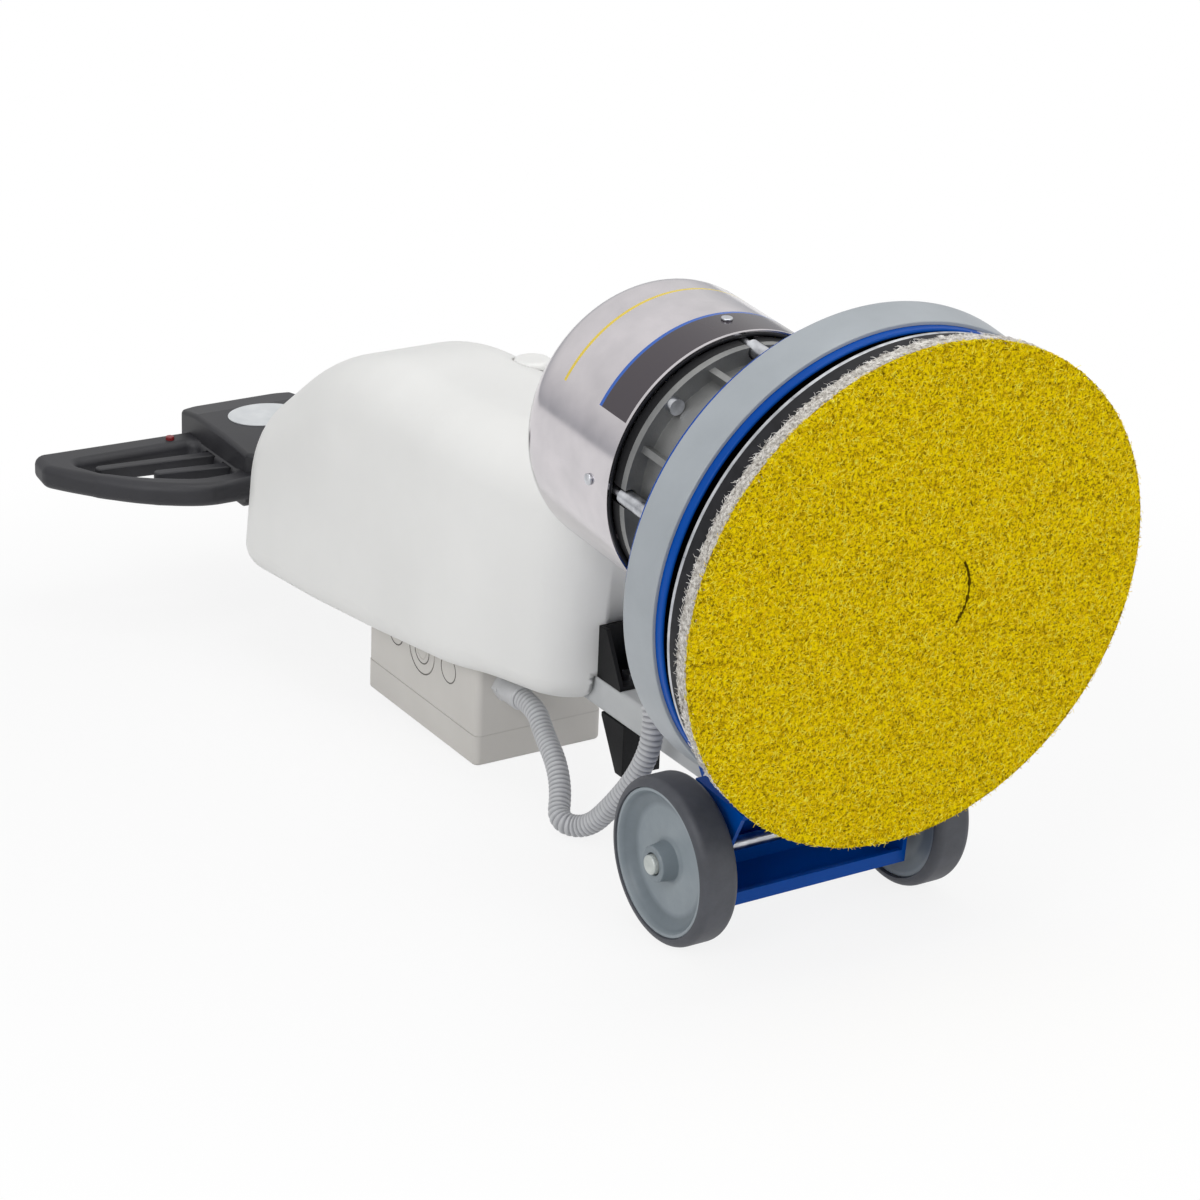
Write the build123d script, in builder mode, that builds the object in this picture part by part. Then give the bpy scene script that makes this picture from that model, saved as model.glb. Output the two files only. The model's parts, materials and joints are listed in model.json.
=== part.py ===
from build123d import *
import math
import os

os.makedirs("parts", exist_ok=True)

# Stance: the machine lies tipped back on its two wheels and the front edge of the control box
base_tilt = 8
handle_tilt = 4
axle_place = -422
wheel_radius = 72
axle_depth = 132
axle_drop = 274
hinge_depth = 205
hinge_drop = 262

# Pad and drive disc, measured back from the working face
pad_radius = 216
face_depth = 4
backing_depth = 14
backing_inset = 1
plug_radius = 46
slit_width = 0.8
slit_tab = 9
holder_radius = 206
holder_depth = 24
holder_bore = 30
holder_chamfer = 2
disc_depth = 3
hub_flange_radius = 75
hub_flange_depth = 10
hub_boss_radius = 32
hub_boss_depth = 22
drive_screw_circle = 58
drive_screw_radius = 4
drive_screw_head = 6.5
drive_screw_reach = 18
centre_bolt_radius = 5
centre_bolt_head = 9
centre_bolt_reach = 30
running_fit = 0.05
screw_fit = 0.05

# Deck pan and rubber skirt
deck_gap = 11
deck_depth = 50
deck_radius = 204
deck_wall = 3.5
deck_corner = 6
deck_bore = 62
skirt_front = 8
skirt_rear = 2
skirt_lip = 3
skirt_flare = 3
skirt_notch = 95
skirt_strip = 16
bead_rise = 1.5
bead_width = 3

# Gear housing, planetary gear and motor
foot_radius = 122
foot_depth = 10
housing_depth = 150
housing_wall_radius = 102
flange_radius = 117
flange_depth = 7
rib_count = 8
rib_width = 6
rib_radius = 112
hub_bore = 40
hub_bore_depth = 12
shaft_radius = 17.5
bearing_radius = 31
bearing_width = 14
bearing_lip = 4
bearing_spacing = 12
carrier_radius = 60
carrier_depth = 12
carrier_room = 3
gear_module = 2
pressure = math.radians(25)
sun_teeth = 12
planet_teeth = 24
ring_teeth = 60
gear_width = 20
gear_gap = 2
gear_backlash = 0.16
tooth_tip = 0.8
tooth_root = 1.05
ring_wall = 11
pin_radius = 6
adapter_depth = 10
spindle_radius = 10
spindle_bearing_radius = 23.5
spindle_lip = 4
frame_radius = 86
frame_wall = 6
frame_depth = 110
fin_count = 20
fin_height = 9
fin_width = 3
stator_bore = 52
stator_depth = 66
air_gap = 0.5
coil_depth = 12
coil_inset = 6
fan_radius = 72
fan_hub = 15
fan_plate = 2
fan_depth = 14
blade_count = 8
blade_width = 3
cover_radius = 122.5
cover_wall = 1.5
cover_depth = 151
cover_round = 34
cover_gap = 1
post_gap = 0.1
vent_count = 10
vent_length = 34
vent_width = 6
vent_circle = 62
trim_depth = 8
trim_wall = 4
stud_circle = 113
stud_radius = 4
sleeve_radius = 7
stud_rise = 31
post_depth = 16
notch_room = 1.3
housing_bolt_radius = 4
housing_bolt_head = 7
housing_bolt_depth = 6
flange_bolt_circle = 109.5
cover_screw_radius = 2.5
cover_screw_head = 5
cover_screw_rise = 2.2
entry_offset = 45
entry_inset = 25
entry_reach = 16

# Wheels, axle and wheel bracket
tyre_width = 35
wheel_track = 117
seat_radius = 58
tyre_shoulder = 9
dish_depth = 12
web_depth = 8
dish_floor_radius = 48
boss_radius = 15
axle_radius = 6
axle_fit = 0.1
cap_radius = 9.5
cap_depth = 4
axle_chamfer = 1
rim_inset = 3
rim_wall = 3
hub_gap = 1
sheet = 4
bracket_half = 92
bracket_top = 212
bracket_bottom = 306
bracket_front = 78
bracket_lip_front = 92
bracket_back = 148
lip_height = 12
gusset_half = 60
bracket_foot_high = 146
bracket_bolt_radius = 4
bracket_bolt_head = 7
bracket_bolt_depth = 5
bracket_bolt_middle = 176
bracket_bolt_spread = 84
bracket_bolt_pitch = 28
lug_gap = 24
lug_width = 6
lug_radius = 18
hinge_radius = 8
hinge_fit = 0.06
hinge_head = 12
hinge_head_depth = 7
stop_radius = 5
stop_reach = 26
stop_gap = 0.4

# Handle pole and its two shelf brackets, measured along the pole from the hinge
pole_width = 40
pole_height = 30
pole_wall = 2.5
pole_round = 4
pole_start = -20
pole_end = 850
bush_radius = 13.5
bush_gap = 0.3
shelf_place = 207
shelf_rise = 50
shelf_length = 38
lower_place = 160
shelf_sheet = 4
cheek_top = 12
pole_bolt_depth = 5
pole_bolt_radius = 4
pole_bolt_head = 7

# Solution tank
tank_front = 207
tank_length = 560
tank_slope = 168
tank_half = 112
tank_top_half = 86
tank_nose_half = 56
tank_flare = 140
tank_taper = 4
tank_foot = -80
tank_crown = 240
tank_front_bottom = -13
tank_bend = 103
tank_bend_bottom = -14
tank_sag = 393
tank_sag_bottom = -48
tank_rear_bottom = -62
tank_bend_round = 300
tank_front_top = 224
tank_knee_top = 217
tank_knee_round = 300
tank_rear_top = 84
tank_rear_round = 108
tank_edge = 56
tank_nose_round = 62
tank_side_round = 160
tank_foot_round = 26
tank_wall = 5
level_limit = 0.8
upright_limit = 0.05
tank_seat_gap = 0.3
tank_side_gap = 3
tank_flank = 16
filler_offset = 64
filler_place = 471
filler_drop = 9
filler_radius = 15
filler_wall = 3
filler_rise = 2
filler_reach = 44
filler_room = 1.5
cap_overhang = 3
cap_thickness = 6.5
cap_dome = 4
cap_gap = 0.3
cap_plug = 9

# Control box under the pole
box_front = 334
box_length = 208
box_half = 68
box_wall = 2.5
box_corner = 7
lid_height = 30
lid_round = 3
lid_step = 0.6
knockout_radius = 14
knockout_groove = 1.2
knockout_depth = 0.6
knockout_spacing = 50
knockout_drop = 25
lid_screw_radius = 5
lid_screw_depth = 16
lid_screw_inset = 12
gland_offset = 40
gland_drop = 25
gland_radius = 12
gland_nut_radius = 13.5
gland_nut_depth = 8
gland_length = 34
gland_chamfer = 1.5
conduit_radius = 10
conduit_run = 24
conduit_climb = 46
conduit_low = 11.5

# Handle head with two finger loops
head_front = 774
head_rear = 974
head_half = 65
neck_half = 32
neck_height = 21
head_top = 33
head_bottom = 31
head_split = -4
head_bow = 15
neck_length = 31
neck_slope = 4
block_drop = 7
block_rise = 14
block_round = 10
loop_top = 9
loop_bottom = -16
loop_reach = 240
loop_tip_rear = 956
loop_rear = 949
loop_front = 795
bar_width = 28
loop_round = 9
rear_bar = 30
loop_root = 30
loop_straight = 40
shoulder_inset = 80
elbow_inset = 35
bow_low = 27
bow_high = 72
loop_bend = 24
loop_tip_bend = 13
gap_inset = 4
gap_round = 10
socket_fit = 0.3
label_place = 897
label_length = 64
label_width = 78
label_depth = 1
lever_pivot_in = 55
switch_place = 886
valve_place = 849
lever_eye = 6.5
lever_pin = 3
lever_top = 5
lever_bottom = -9
lever_room = 0.6
pin_length = 6
pocket_middle = 57
pocket_length = 26
pocket_width = 20
lever_tip = 6
lever_round = 2
switch_lean = 14
valve_lean = 14
switch_inset = 50
valve_inset = 98
button_x = 91
button_place = 933
button_radius = 4.5
button_rise = 3.5
button_travel = 3
button_depth = 8
button_fit = 0.1


def way(tilt):
    return Vector(0, math.cos(math.radians(tilt)), math.sin(math.radians(tilt)))


def rise(tilt):
    return Vector(0, -math.sin(math.radians(tilt)), math.cos(math.radians(tilt)))


motor_way = way(base_tilt)
motor_up = rise(base_tilt)
pole_way = way(handle_tilt)
pole_up = rise(handle_tilt)
axle_point = Vector(0, axle_place, wheel_radius)
pad_point = axle_point - motor_way * axle_depth + motor_up * axle_drop
hinge_point = pad_point + motor_way * hinge_depth - motor_up * hinge_drop
motor_axis = Axis(pad_point, motor_way)
axle_axis = Axis(axle_point, (1, 0, 0))

# Base planes: side is depth against height, plan is radius against depth
base_side = Plane(origin=pad_point, x_dir=motor_way, z_dir=(1, 0, 0))
base_plan = Plane(origin=pad_point, x_dir=(1, 0, 0), z_dir=motor_up)
wheel_plan = Plane(origin=axle_point, x_dir=(1, 0, 0), z_dir=(0, -1, 0))
pole_side = Plane(origin=hinge_point, x_dir=pole_way, z_dir=(1, 0, 0))


def base_at(depth):
    return Plane(origin=pad_point + motor_way * depth, x_dir=(-1, 0, 0), z_dir=motor_way)


def pole_at(place):
    return Plane(origin=hinge_point + pole_way * place, x_dir=(-1, 0, 0), z_dir=pole_way)


def pole_plan(height):
    return Plane(origin=hinge_point + pole_up * height, x_dir=(1, 0, 0), z_dir=pole_up)


def base_point(across, depth, height):
    return pad_point + Vector(across, 0, 0) + motor_way * depth + motor_up * height


def pole_point(across, place, height):
    return hinge_point + Vector(across, 0, 0) + pole_way * place + pole_up * height


def involute(angle):
    return math.tan(angle) - angle


def gear_points(teeth, root_radius, tip_radius, thickness):
    pitch_radius = gear_module * teeth / 2
    base_radius = pitch_radius * math.cos(pressure)
    half = thickness / (2 * pitch_radius) + involute(pressure)
    low = max(root_radius, base_radius)
    flank = []
    for radius in (low, (low + tip_radius) / 2, tip_radius):
        flank.append((radius, half - involute(math.acos(base_radius / radius))))
    if root_radius < base_radius:
        flank.insert(0, (root_radius, flank[0][1]))
    points = []
    for tooth in range(teeth):
        middle = 2 * math.pi * tooth / teeth
        for radius, turn in flank:
            points.append((radius * math.cos(middle - turn), radius * math.sin(middle - turn)))
        for radius, turn in reversed(flank):
            points.append((radius * math.cos(middle + turn), radius * math.sin(middle + turn)))
    return points


# Depths along the motor axis
holder_front = face_depth + backing_depth
disc_front = holder_front + holder_depth
hub_front = disc_front + disc_depth
hub_rear = hub_front + hub_flange_depth
deck_front = hub_front + deck_gap
deck_rear = deck_front + deck_depth
foot_rear = deck_rear + foot_depth
flange_rear = deck_rear + housing_depth
flange_front = flange_rear - flange_depth
bearing_front = deck_rear + hub_bore_depth + bearing_lip
second_bearing = bearing_front + bearing_width + bearing_spacing
carrier_front = second_bearing + bearing_width + bearing_lip + carrier_room
carrier_rear = carrier_front + carrier_depth
gear_front = carrier_rear + gear_gap
gear_rear = gear_front + gear_width
adapter_rear = flange_rear + adapter_depth
spindle_bearing_front = adapter_rear - bearing_width
frame_rear = adapter_rear + frame_depth
stator_front = adapter_rear + coil_depth + coil_inset
stator_rear = stator_front + stator_depth
fan_front = frame_rear + 2 * fan_plate
cover_front = adapter_rear + cover_gap
cover_rear = cover_front + cover_depth
post_front = adapter_rear + stud_rise - cover_screw_head * 2
screw_depth = post_front + post_depth / 2
planet_circle = gear_module * (sun_teeth + planet_teeth) / 2
ring_outer = gear_module * ring_teeth / 2 + ring_wall + tooth_root * gear_module
tooth_space = math.pi * gear_module / 2
skirt_start = deck_front + skirt_front
skirt_end = deck_rear - skirt_rear

# Places across the wheels and along the pole
tyre_inner = wheel_track - tyre_width / 2
tyre_outer = wheel_track + tyre_width / 2
hub_inner = bracket_half + hub_gap
hub_outer = tyre_outer - hub_gap
cap_start = hub_outer + hub_gap / 2
axle_half = cap_start + 2 * cap_depth
stop_turn = math.radians(handle_tilt - base_tilt)
stop_height = pole_height / 2 + stop_radius + stop_gap
stop_spot = (
    hinge_depth + stop_reach * math.cos(stop_turn) - stop_height * math.sin(stop_turn),
    -hinge_drop + stop_reach * math.sin(stop_turn) + stop_height * math.cos(stop_turn),
)
upper_bolt = shelf_place - (shelf_length + shelf_sheet) / 2
bracket_turn = (shelf_place + lower_place) / 2
lower_bolt = 2 * bracket_turn - upper_bolt
tank_rear = tank_front + tank_length
tank_knee = tank_rear - tank_slope

# Yellow abrasive face of the pad with its punched centre plug
with BuildPart() as pad_face:
    with BuildSketch(base_at(0)):
        Circle(pad_radius)
    extrude(amount=face_depth)
    with BuildSketch(base_at(0)):
        Circle(plug_radius)
        Circle(plug_radius - slit_width, mode=Mode.SUBTRACT)
        with PolarLocations(plug_radius, 3):
            Rectangle(4 * slit_width, slit_tab, mode=Mode.SUBTRACT)
    extrude(amount=face_depth, mode=Mode.SUBTRACT)
pad_face.part.label = "pad_face"
export_step(pad_face.part, "parts/pad_face.step")

# White fibre body of the pad
with BuildPart() as pad_backing:
    with BuildSketch(base_at(face_depth)):
        Circle(pad_radius - backing_inset)
    extrude(amount=backing_depth)
pad_backing.part.label = "pad_backing"
export_step(pad_backing.part, "parts/pad_backing.step")

# Black pad holder that grips the pad
with BuildPart() as pad_holder:
    with BuildSketch(base_at(holder_front)):
        Circle(holder_radius)
        Circle(holder_bore, mode=Mode.SUBTRACT)
    extrude(amount=holder_depth)
    chamfer(pad_holder.edges().filter_by(GeomType.CIRCLE).sort_by(SortBy.RADIUS)[-2:], holder_chamfer)
    with BuildSketch(base_at(disc_front - drive_screw_reach)):
        with PolarLocations(drive_screw_circle, 6):
            Circle(drive_screw_radius + screw_fit)
    extrude(amount=drive_screw_reach, mode=Mode.SUBTRACT)
pad_holder.part.label = "pad_holder"
export_step(pad_holder.part, "parts/pad_holder.step")

# Steel drive disc behind the holder
with BuildPart() as drive_disc:
    with BuildSketch(base_at(disc_front)):
        Circle(holder_radius)
        Circle(centre_bolt_radius + screw_fit, mode=Mode.SUBTRACT)
        with PolarLocations(drive_screw_circle, 6):
            Circle(drive_screw_radius + screw_fit, mode=Mode.SUBTRACT)
    extrude(amount=disc_depth)
drive_disc.part.label = "drive_disc"
export_step(drive_disc.part, "parts/drive_disc.step")

# Hub that carries the drive disc on the output shaft
with BuildPart() as drive_hub:
    with BuildSketch(base_at(hub_front)):
        Circle(hub_flange_radius)
    extrude(amount=hub_flange_depth)
    with BuildSketch(base_at(hub_front)):
        Circle(hub_boss_radius)
    extrude(amount=hub_flange_depth + hub_boss_depth)
    with BuildSketch(base_at(hub_front)):
        Circle(shaft_radius)
        with PolarLocations(drive_screw_circle, 6):
            Circle(drive_screw_radius + screw_fit)
    extrude(amount=hub_flange_depth + hub_boss_depth, mode=Mode.SUBTRACT)
drive_hub.part.label = "drive_hub"
export_step(drive_hub.part, "parts/drive_hub.step")

# Six screws through the hub flange and the disc into the holder
with BuildPart() as drive_screws:
    with BuildSketch(base_at(disc_front - drive_screw_reach)):
        with PolarLocations(drive_screw_circle, 6):
            Circle(drive_screw_radius)
    extrude(amount=drive_screw_reach + disc_depth + hub_flange_depth)
    with BuildSketch(base_at(hub_rear)):
        with PolarLocations(drive_screw_circle, 6):
            RegularPolygon(drive_screw_head, 6)
    extrude(amount=drive_screw_head)
drive_screws.part.label = "drive_screws"
export_step(drive_screws.part, "parts/drive_screws.step")

# Centre bolt that clamps the disc to the shaft
with BuildPart() as centre_bolt:
    with BuildSketch(base_at(disc_front - centre_bolt_head)):
        RegularPolygon(centre_bolt_head, 6)
    extrude(amount=centre_bolt_head)
    with BuildSketch(base_at(disc_front)):
        Circle(centre_bolt_radius)
    extrude(amount=disc_depth + centre_bolt_reach)
centre_bolt.part.label = "centre_bolt"
export_step(centre_bolt.part, "parts/centre_bolt.step")

# Output shaft and planet carrier in one forging
with BuildPart() as carrier:
    with BuildSketch(base_at(hub_front)):
        Circle(shaft_radius)
    extrude(amount=carrier_front - hub_front)
    with BuildSketch(base_at(carrier_front)):
        Circle(carrier_radius)
    extrude(amount=carrier_depth)
    with BuildSketch(base_at(hub_front)):
        Circle(centre_bolt_radius + screw_fit)
    extrude(amount=centre_bolt_reach, mode=Mode.SUBTRACT)
    with BuildSketch(base_at(carrier_front)):
        with PolarLocations(planet_circle, 3, start_angle=90):
            Circle(pin_radius)
    extrude(amount=carrier_depth, mode=Mode.SUBTRACT)
carrier.part.label = "carrier"
export_step(carrier.part, "parts/carrier.step")

# Three planet pins pressed into the carrier
with BuildPart() as planet_pins:
    with BuildSketch(base_at(carrier_front)):
        with PolarLocations(planet_circle, 3, start_angle=90):
            Circle(pin_radius)
    extrude(amount=gear_rear + gear_gap - carrier_front)
planet_pins.part.label = "planet_pins"
export_step(planet_pins.part, "parts/planet_pins.step")


def planet_sketch_place(turn):
    angle = math.radians(turn)
    return Location((planet_circle * math.cos(angle), planet_circle * math.sin(angle), 0), (0, 0, turn))


planet_outline = gear_points(
    planet_teeth,
    gear_module * (planet_teeth / 2 - tooth_root),
    gear_module * (planet_teeth / 2 + tooth_tip),
    tooth_space - gear_backlash,
)
half_pitch = 180 / planet_teeth

# Three planet gears that turn on the carrier's pins
with BuildPart() as planet_gear_1:
    with BuildSketch(base_at(gear_front)):
        with Locations(planet_sketch_place(90)):
            Polygon(*planet_outline, align=None, rotation=half_pitch)
            Circle(pin_radius + running_fit, mode=Mode.SUBTRACT)
    extrude(amount=gear_width)
planet_gear_1.part.label = "planet_gear_1"
export_step(planet_gear_1.part, "parts/planet_gear_1.step")

with BuildPart() as planet_gear_2:
    with BuildSketch(base_at(gear_front)):
        with Locations(planet_sketch_place(210)):
            Polygon(*planet_outline, align=None, rotation=half_pitch)
            Circle(pin_radius + running_fit, mode=Mode.SUBTRACT)
    extrude(amount=gear_width)
planet_gear_2.part.label = "planet_gear_2"
export_step(planet_gear_2.part, "parts/planet_gear_2.step")

with BuildPart() as planet_gear_3:
    with BuildSketch(base_at(gear_front)):
        with Locations(planet_sketch_place(330)):
            Polygon(*planet_outline, align=None, rotation=half_pitch)
            Circle(pin_radius + running_fit, mode=Mode.SUBTRACT)
    extrude(amount=gear_width)
planet_gear_3.part.label = "planet_gear_3"
export_step(planet_gear_3.part, "parts/planet_gear_3.step")

# Motor spindle with the sun gear cut on its end
with BuildPart() as spindle:
    with BuildSketch(base_at(gear_front)):
        Polygon(
            *gear_points(
                sun_teeth,
                gear_module * (sun_teeth / 2 - tooth_root),
                gear_module * (sun_teeth / 2 + tooth_tip),
                tooth_space - gear_backlash,
            ),
            align=None,
        )
    extrude(amount=gear_width)
    with BuildSketch(base_at(gear_rear)):
        Circle(spindle_radius)
    extrude(amount=fan_front + fan_depth - gear_rear)
spindle.part.label = "spindle"
export_step(spindle.part, "parts/spindle.step")

# Rotor core pressed on the spindle
with BuildPart() as rotor_core:
    with BuildSketch(base_at(stator_front)):
        Circle(stator_bore - air_gap)
        Circle(spindle_radius, mode=Mode.SUBTRACT)
    extrude(amount=stator_depth)
rotor_core.part.label = "rotor_core"
export_step(rotor_core.part, "parts/rotor_core.step")

# Cooling fan on the rear end of the spindle
with BuildPart() as fan:
    with BuildSketch(base_at(fan_front)):
        Circle(fan_radius)
    extrude(amount=fan_plate)
    with BuildSketch(base_at(fan_front)):
        Circle(fan_hub)
        with PolarLocations((fan_hub + fan_radius) / 2 - blade_width, blade_count):
            Rectangle(fan_radius - fan_hub, blade_width)
    extrude(amount=fan_depth)
    with BuildSketch(base_at(fan_front)):
        Circle(spindle_radius)
    extrude(amount=fan_depth, mode=Mode.SUBTRACT)
fan.part.label = "fan"
export_step(fan.part, "parts/fan.step")

# Ring gear fixed in the housing
with BuildPart() as ring_gear:
    with BuildSketch(base_at(gear_front)):
        Circle(ring_outer)
        Polygon(
            *gear_points(
                ring_teeth,
                gear_module * (ring_teeth / 2 - tooth_tip),
                gear_module * (ring_teeth / 2 + tooth_root),
                tooth_space + gear_backlash,
            ),
            align=None,
            rotation=180 / ring_teeth,
            mode=Mode.SUBTRACT,
        )
    extrude(amount=gear_width)
ring_gear.part.label = "ring_gear"
export_step(ring_gear.part, "parts/ring_gear.step")

# Two ball bearings of the output shaft, drawn as plain rings
with BuildPart() as output_bearings:
    for place in (bearing_front, second_bearing):
        with BuildSketch(base_at(place)):
            Circle(bearing_radius)
            Circle(shaft_radius + running_fit, mode=Mode.SUBTRACT)
        extrude(amount=bearing_width)
output_bearings.part.label = "output_bearings"
export_step(output_bearings.part, "parts/output_bearings.step")

# Cast gear housing with ribs, bearing seats and ring gear seat
with BuildPart() as gear_housing:
    with BuildSketch(base_at(deck_rear)):
        Circle(foot_radius)
    extrude(amount=foot_depth)
    with BuildSketch(base_at(foot_rear)):
        Circle(housing_wall_radius)
    extrude(amount=flange_front - foot_rear)
    with BuildSketch(base_at(foot_rear)):
        with PolarLocations(rib_radius / 2, rib_count, start_angle=180 / rib_count):
            Rectangle(rib_radius, rib_width)
    extrude(amount=flange_front - foot_rear)
    with BuildSketch(base_at(flange_front)):
        Circle(flange_radius)
    extrude(amount=flange_depth)
    with BuildSketch(base_plan):
        with BuildLine():
            Polyline(
                (0, deck_rear),
                (hub_bore, deck_rear),
                (hub_bore, deck_rear + hub_bore_depth),
                (bearing_radius, deck_rear + hub_bore_depth),
                (bearing_radius, bearing_front + bearing_width),
                (bearing_radius - bearing_lip, bearing_front + bearing_width),
                (bearing_radius - bearing_lip, second_bearing),
                (bearing_radius, second_bearing),
                (bearing_radius, second_bearing + bearing_width),
                (bearing_radius, second_bearing + bearing_width + bearing_lip),
                (carrier_radius + carrier_room, second_bearing + bearing_width + bearing_lip),
                (carrier_radius + carrier_room, gear_front),
                (ring_outer, gear_front),
                (ring_outer, flange_rear),
                (0, flange_rear),
                close=True,
            )
        make_face()
    revolve(axis=motor_axis, mode=Mode.SUBTRACT)
    with BuildSketch(base_at(deck_rear)):
        with PolarLocations(stud_circle, 4):
            Circle(sleeve_radius + notch_room)
    extrude(amount=housing_depth, mode=Mode.SUBTRACT)
    with BuildSketch(base_at(deck_rear)):
        with PolarLocations(stud_circle, 4, start_angle=45):
            Circle(housing_bolt_radius + screw_fit)
    extrude(amount=foot_depth, mode=Mode.SUBTRACT)
    with BuildSketch(base_at(flange_front)):
        with PolarLocations(flange_bolt_circle, 4, start_angle=45):
            Circle(housing_bolt_radius + screw_fit)
    extrude(amount=flange_depth, mode=Mode.SUBTRACT)
gear_housing.part.label = "gear_housing"
export_step(gear_housing.part, "parts/gear_housing.step")

# End shield between the gear housing and the motor
with BuildPart() as motor_adapter:
    with BuildSketch(base_at(flange_rear)):
        Circle(flange_radius)
    extrude(amount=adapter_depth)
    with BuildSketch(base_at(flange_front)):
        Circle(ring_outer)
    extrude(amount=flange_depth)
    with BuildSketch(base_at(flange_front)):
        Circle(spindle_bearing_radius - spindle_lip)
    extrude(amount=flange_depth + adapter_depth, mode=Mode.SUBTRACT)
    with BuildSketch(base_at(spindle_bearing_front)):
        Circle(spindle_bearing_radius)
    extrude(amount=bearing_width, mode=Mode.SUBTRACT)
    with BuildSketch(base_at(flange_rear)):
        with PolarLocations(stud_circle, 4):
            Circle(sleeve_radius + notch_room)
        with PolarLocations(flange_bolt_circle, 4, start_angle=45):
            Circle(housing_bolt_radius + screw_fit)
    extrude(amount=adapter_depth, mode=Mode.SUBTRACT)
motor_adapter.part.label = "motor_adapter"
export_step(motor_adapter.part, "parts/motor_adapter.step")

# Two ball bearings of the spindle, drawn as plain rings
with BuildPart() as spindle_bearings:
    for place in (spindle_bearing_front, frame_rear - bearing_width):
        with BuildSketch(base_at(place)):
            Circle(spindle_bearing_radius)
            Circle(spindle_radius + running_fit, mode=Mode.SUBTRACT)
        extrude(amount=bearing_width)
spindle_bearings.part.label = "spindle_bearings"
export_step(spindle_bearings.part, "parts/spindle_bearings.step")

# Finned motor frame, closed at its rear
with BuildPart() as motor_frame:
    with BuildSketch(base_at(adapter_rear)):
        Circle(frame_radius)
    extrude(amount=frame_depth)
    with BuildSketch(base_at(adapter_rear)):
        with PolarLocations(frame_radius + fin_height / 2 - fin_width / 2, fin_count):
            Rectangle(fin_height + fin_width, fin_width)
    extrude(amount=frame_depth - bearing_width)
    with BuildSketch(base_at(adapter_rear)):
        Circle(frame_radius - frame_wall)
    extrude(amount=frame_depth - frame_wall, mode=Mode.SUBTRACT)
    with BuildSketch(base_at(frame_rear - bearing_width)):
        Circle(spindle_bearing_radius + frame_wall)
    extrude(amount=bearing_width)
    with BuildSketch(base_at(frame_rear - bearing_width)):
        Circle(spindle_bearing_radius)
    extrude(amount=bearing_width, mode=Mode.SUBTRACT)
motor_frame.part.label = "motor_frame"
export_step(motor_frame.part, "parts/motor_frame.step")

# Stator core with its two winding heads
with BuildPart() as stator:
    with BuildSketch(base_at(stator_front)):
        Circle(frame_radius - frame_wall)
        Circle(stator_bore, mode=Mode.SUBTRACT)
    extrude(amount=stator_depth)
    for place in (stator_front - coil_depth, stator_rear):
        with BuildSketch(base_at(place)):
            Circle(frame_radius - frame_wall - coil_inset)
            Circle(stator_bore + coil_inset, mode=Mode.SUBTRACT)
        extrude(amount=coil_depth)
stator.part.label = "stator"
export_step(stator.part, "parts/stator.step")

# Polished motor cover with a rounded rear edge and cooling slots
def radial(turn, radius, depth):
    angle = math.radians(turn)
    outward = Vector(1, 0, 0) * math.cos(angle) + motor_up * math.sin(angle)
    return Plane(origin=pad_point + motor_way * depth + outward * radius, x_dir=motor_way, z_dir=outward)


quarters = (0, 90, 180, 270)
entry_low = -math.sqrt(cover_radius**2 - (entry_offset - gland_nut_radius) ** 2)
entry_point = base_point(-entry_offset, cover_front + entry_inset, entry_low)
cover_inside = cover_radius - cover_wall
post_radius = cover_inside - stud_circle - post_gap

with BuildPart() as motor_cover:
    with BuildSketch(base_at(cover_front)):
        Circle(cover_radius)
    extrude(amount=cover_depth)
    fillet(motor_cover.edges().sort_by(motor_axis)[-1], cover_round)
    offset(amount=-cover_wall, openings=motor_cover.faces().sort_by(motor_axis)[0])
    with BuildSketch(base_at(cover_rear - cover_wall)):
        with PolarLocations(vent_circle, vent_count):
            SlotOverall(vent_length, vent_width)
    extrude(amount=cover_wall, mode=Mode.SUBTRACT)
    for turn in quarters:
        with BuildSketch(radial(turn, stud_circle, screw_depth)):
            Circle(cover_screw_radius + screw_fit)
        extrude(amount=cover_radius - stud_circle, mode=Mode.SUBTRACT)
    with BuildSketch(Plane(entry_point, (1, 0, 0), motor_up)):
        Circle(gland_radius + screw_fit)
    extrude(amount=entry_reach, mode=Mode.SUBTRACT)
motor_cover.part.label = "motor_cover"
export_step(motor_cover.part, "parts/motor_cover.step")

# Black edge trim inside the open rim of the cover
with BuildPart() as cover_trim:
    with BuildSketch(base_at(cover_front)):
        Circle(cover_inside)
        Circle(cover_inside - trim_wall, mode=Mode.SUBTRACT)
    extrude(amount=trim_depth)
cover_trim.part.label = "cover_trim"
export_step(cover_trim.part, "parts/cover_trim.step")

# Four spacer studs that carry the cover on the deck
with BuildPart() as cover_studs:
    with BuildSketch(base_at(deck_rear - deck_wall)):
        with PolarLocations(stud_circle, 4):
            Circle(stud_radius)
    extrude(amount=post_front + deck_wall - deck_rear)
    with BuildSketch(base_at(deck_rear)):
        with PolarLocations(stud_circle, 4):
            Circle(sleeve_radius)
    extrude(amount=housing_depth)
    with BuildSketch(base_at(post_front)):
        with PolarLocations(stud_circle, 4):
            Circle(post_radius)
    extrude(amount=post_depth)
    for turn in quarters:
        with BuildSketch(radial(turn, stud_circle, screw_depth)):
            Circle(cover_screw_radius + screw_fit)
        extrude(amount=post_radius, mode=Mode.SUBTRACT)
cover_studs.part.label = "cover_studs"
export_step(cover_studs.part, "parts/cover_studs.step")

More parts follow.
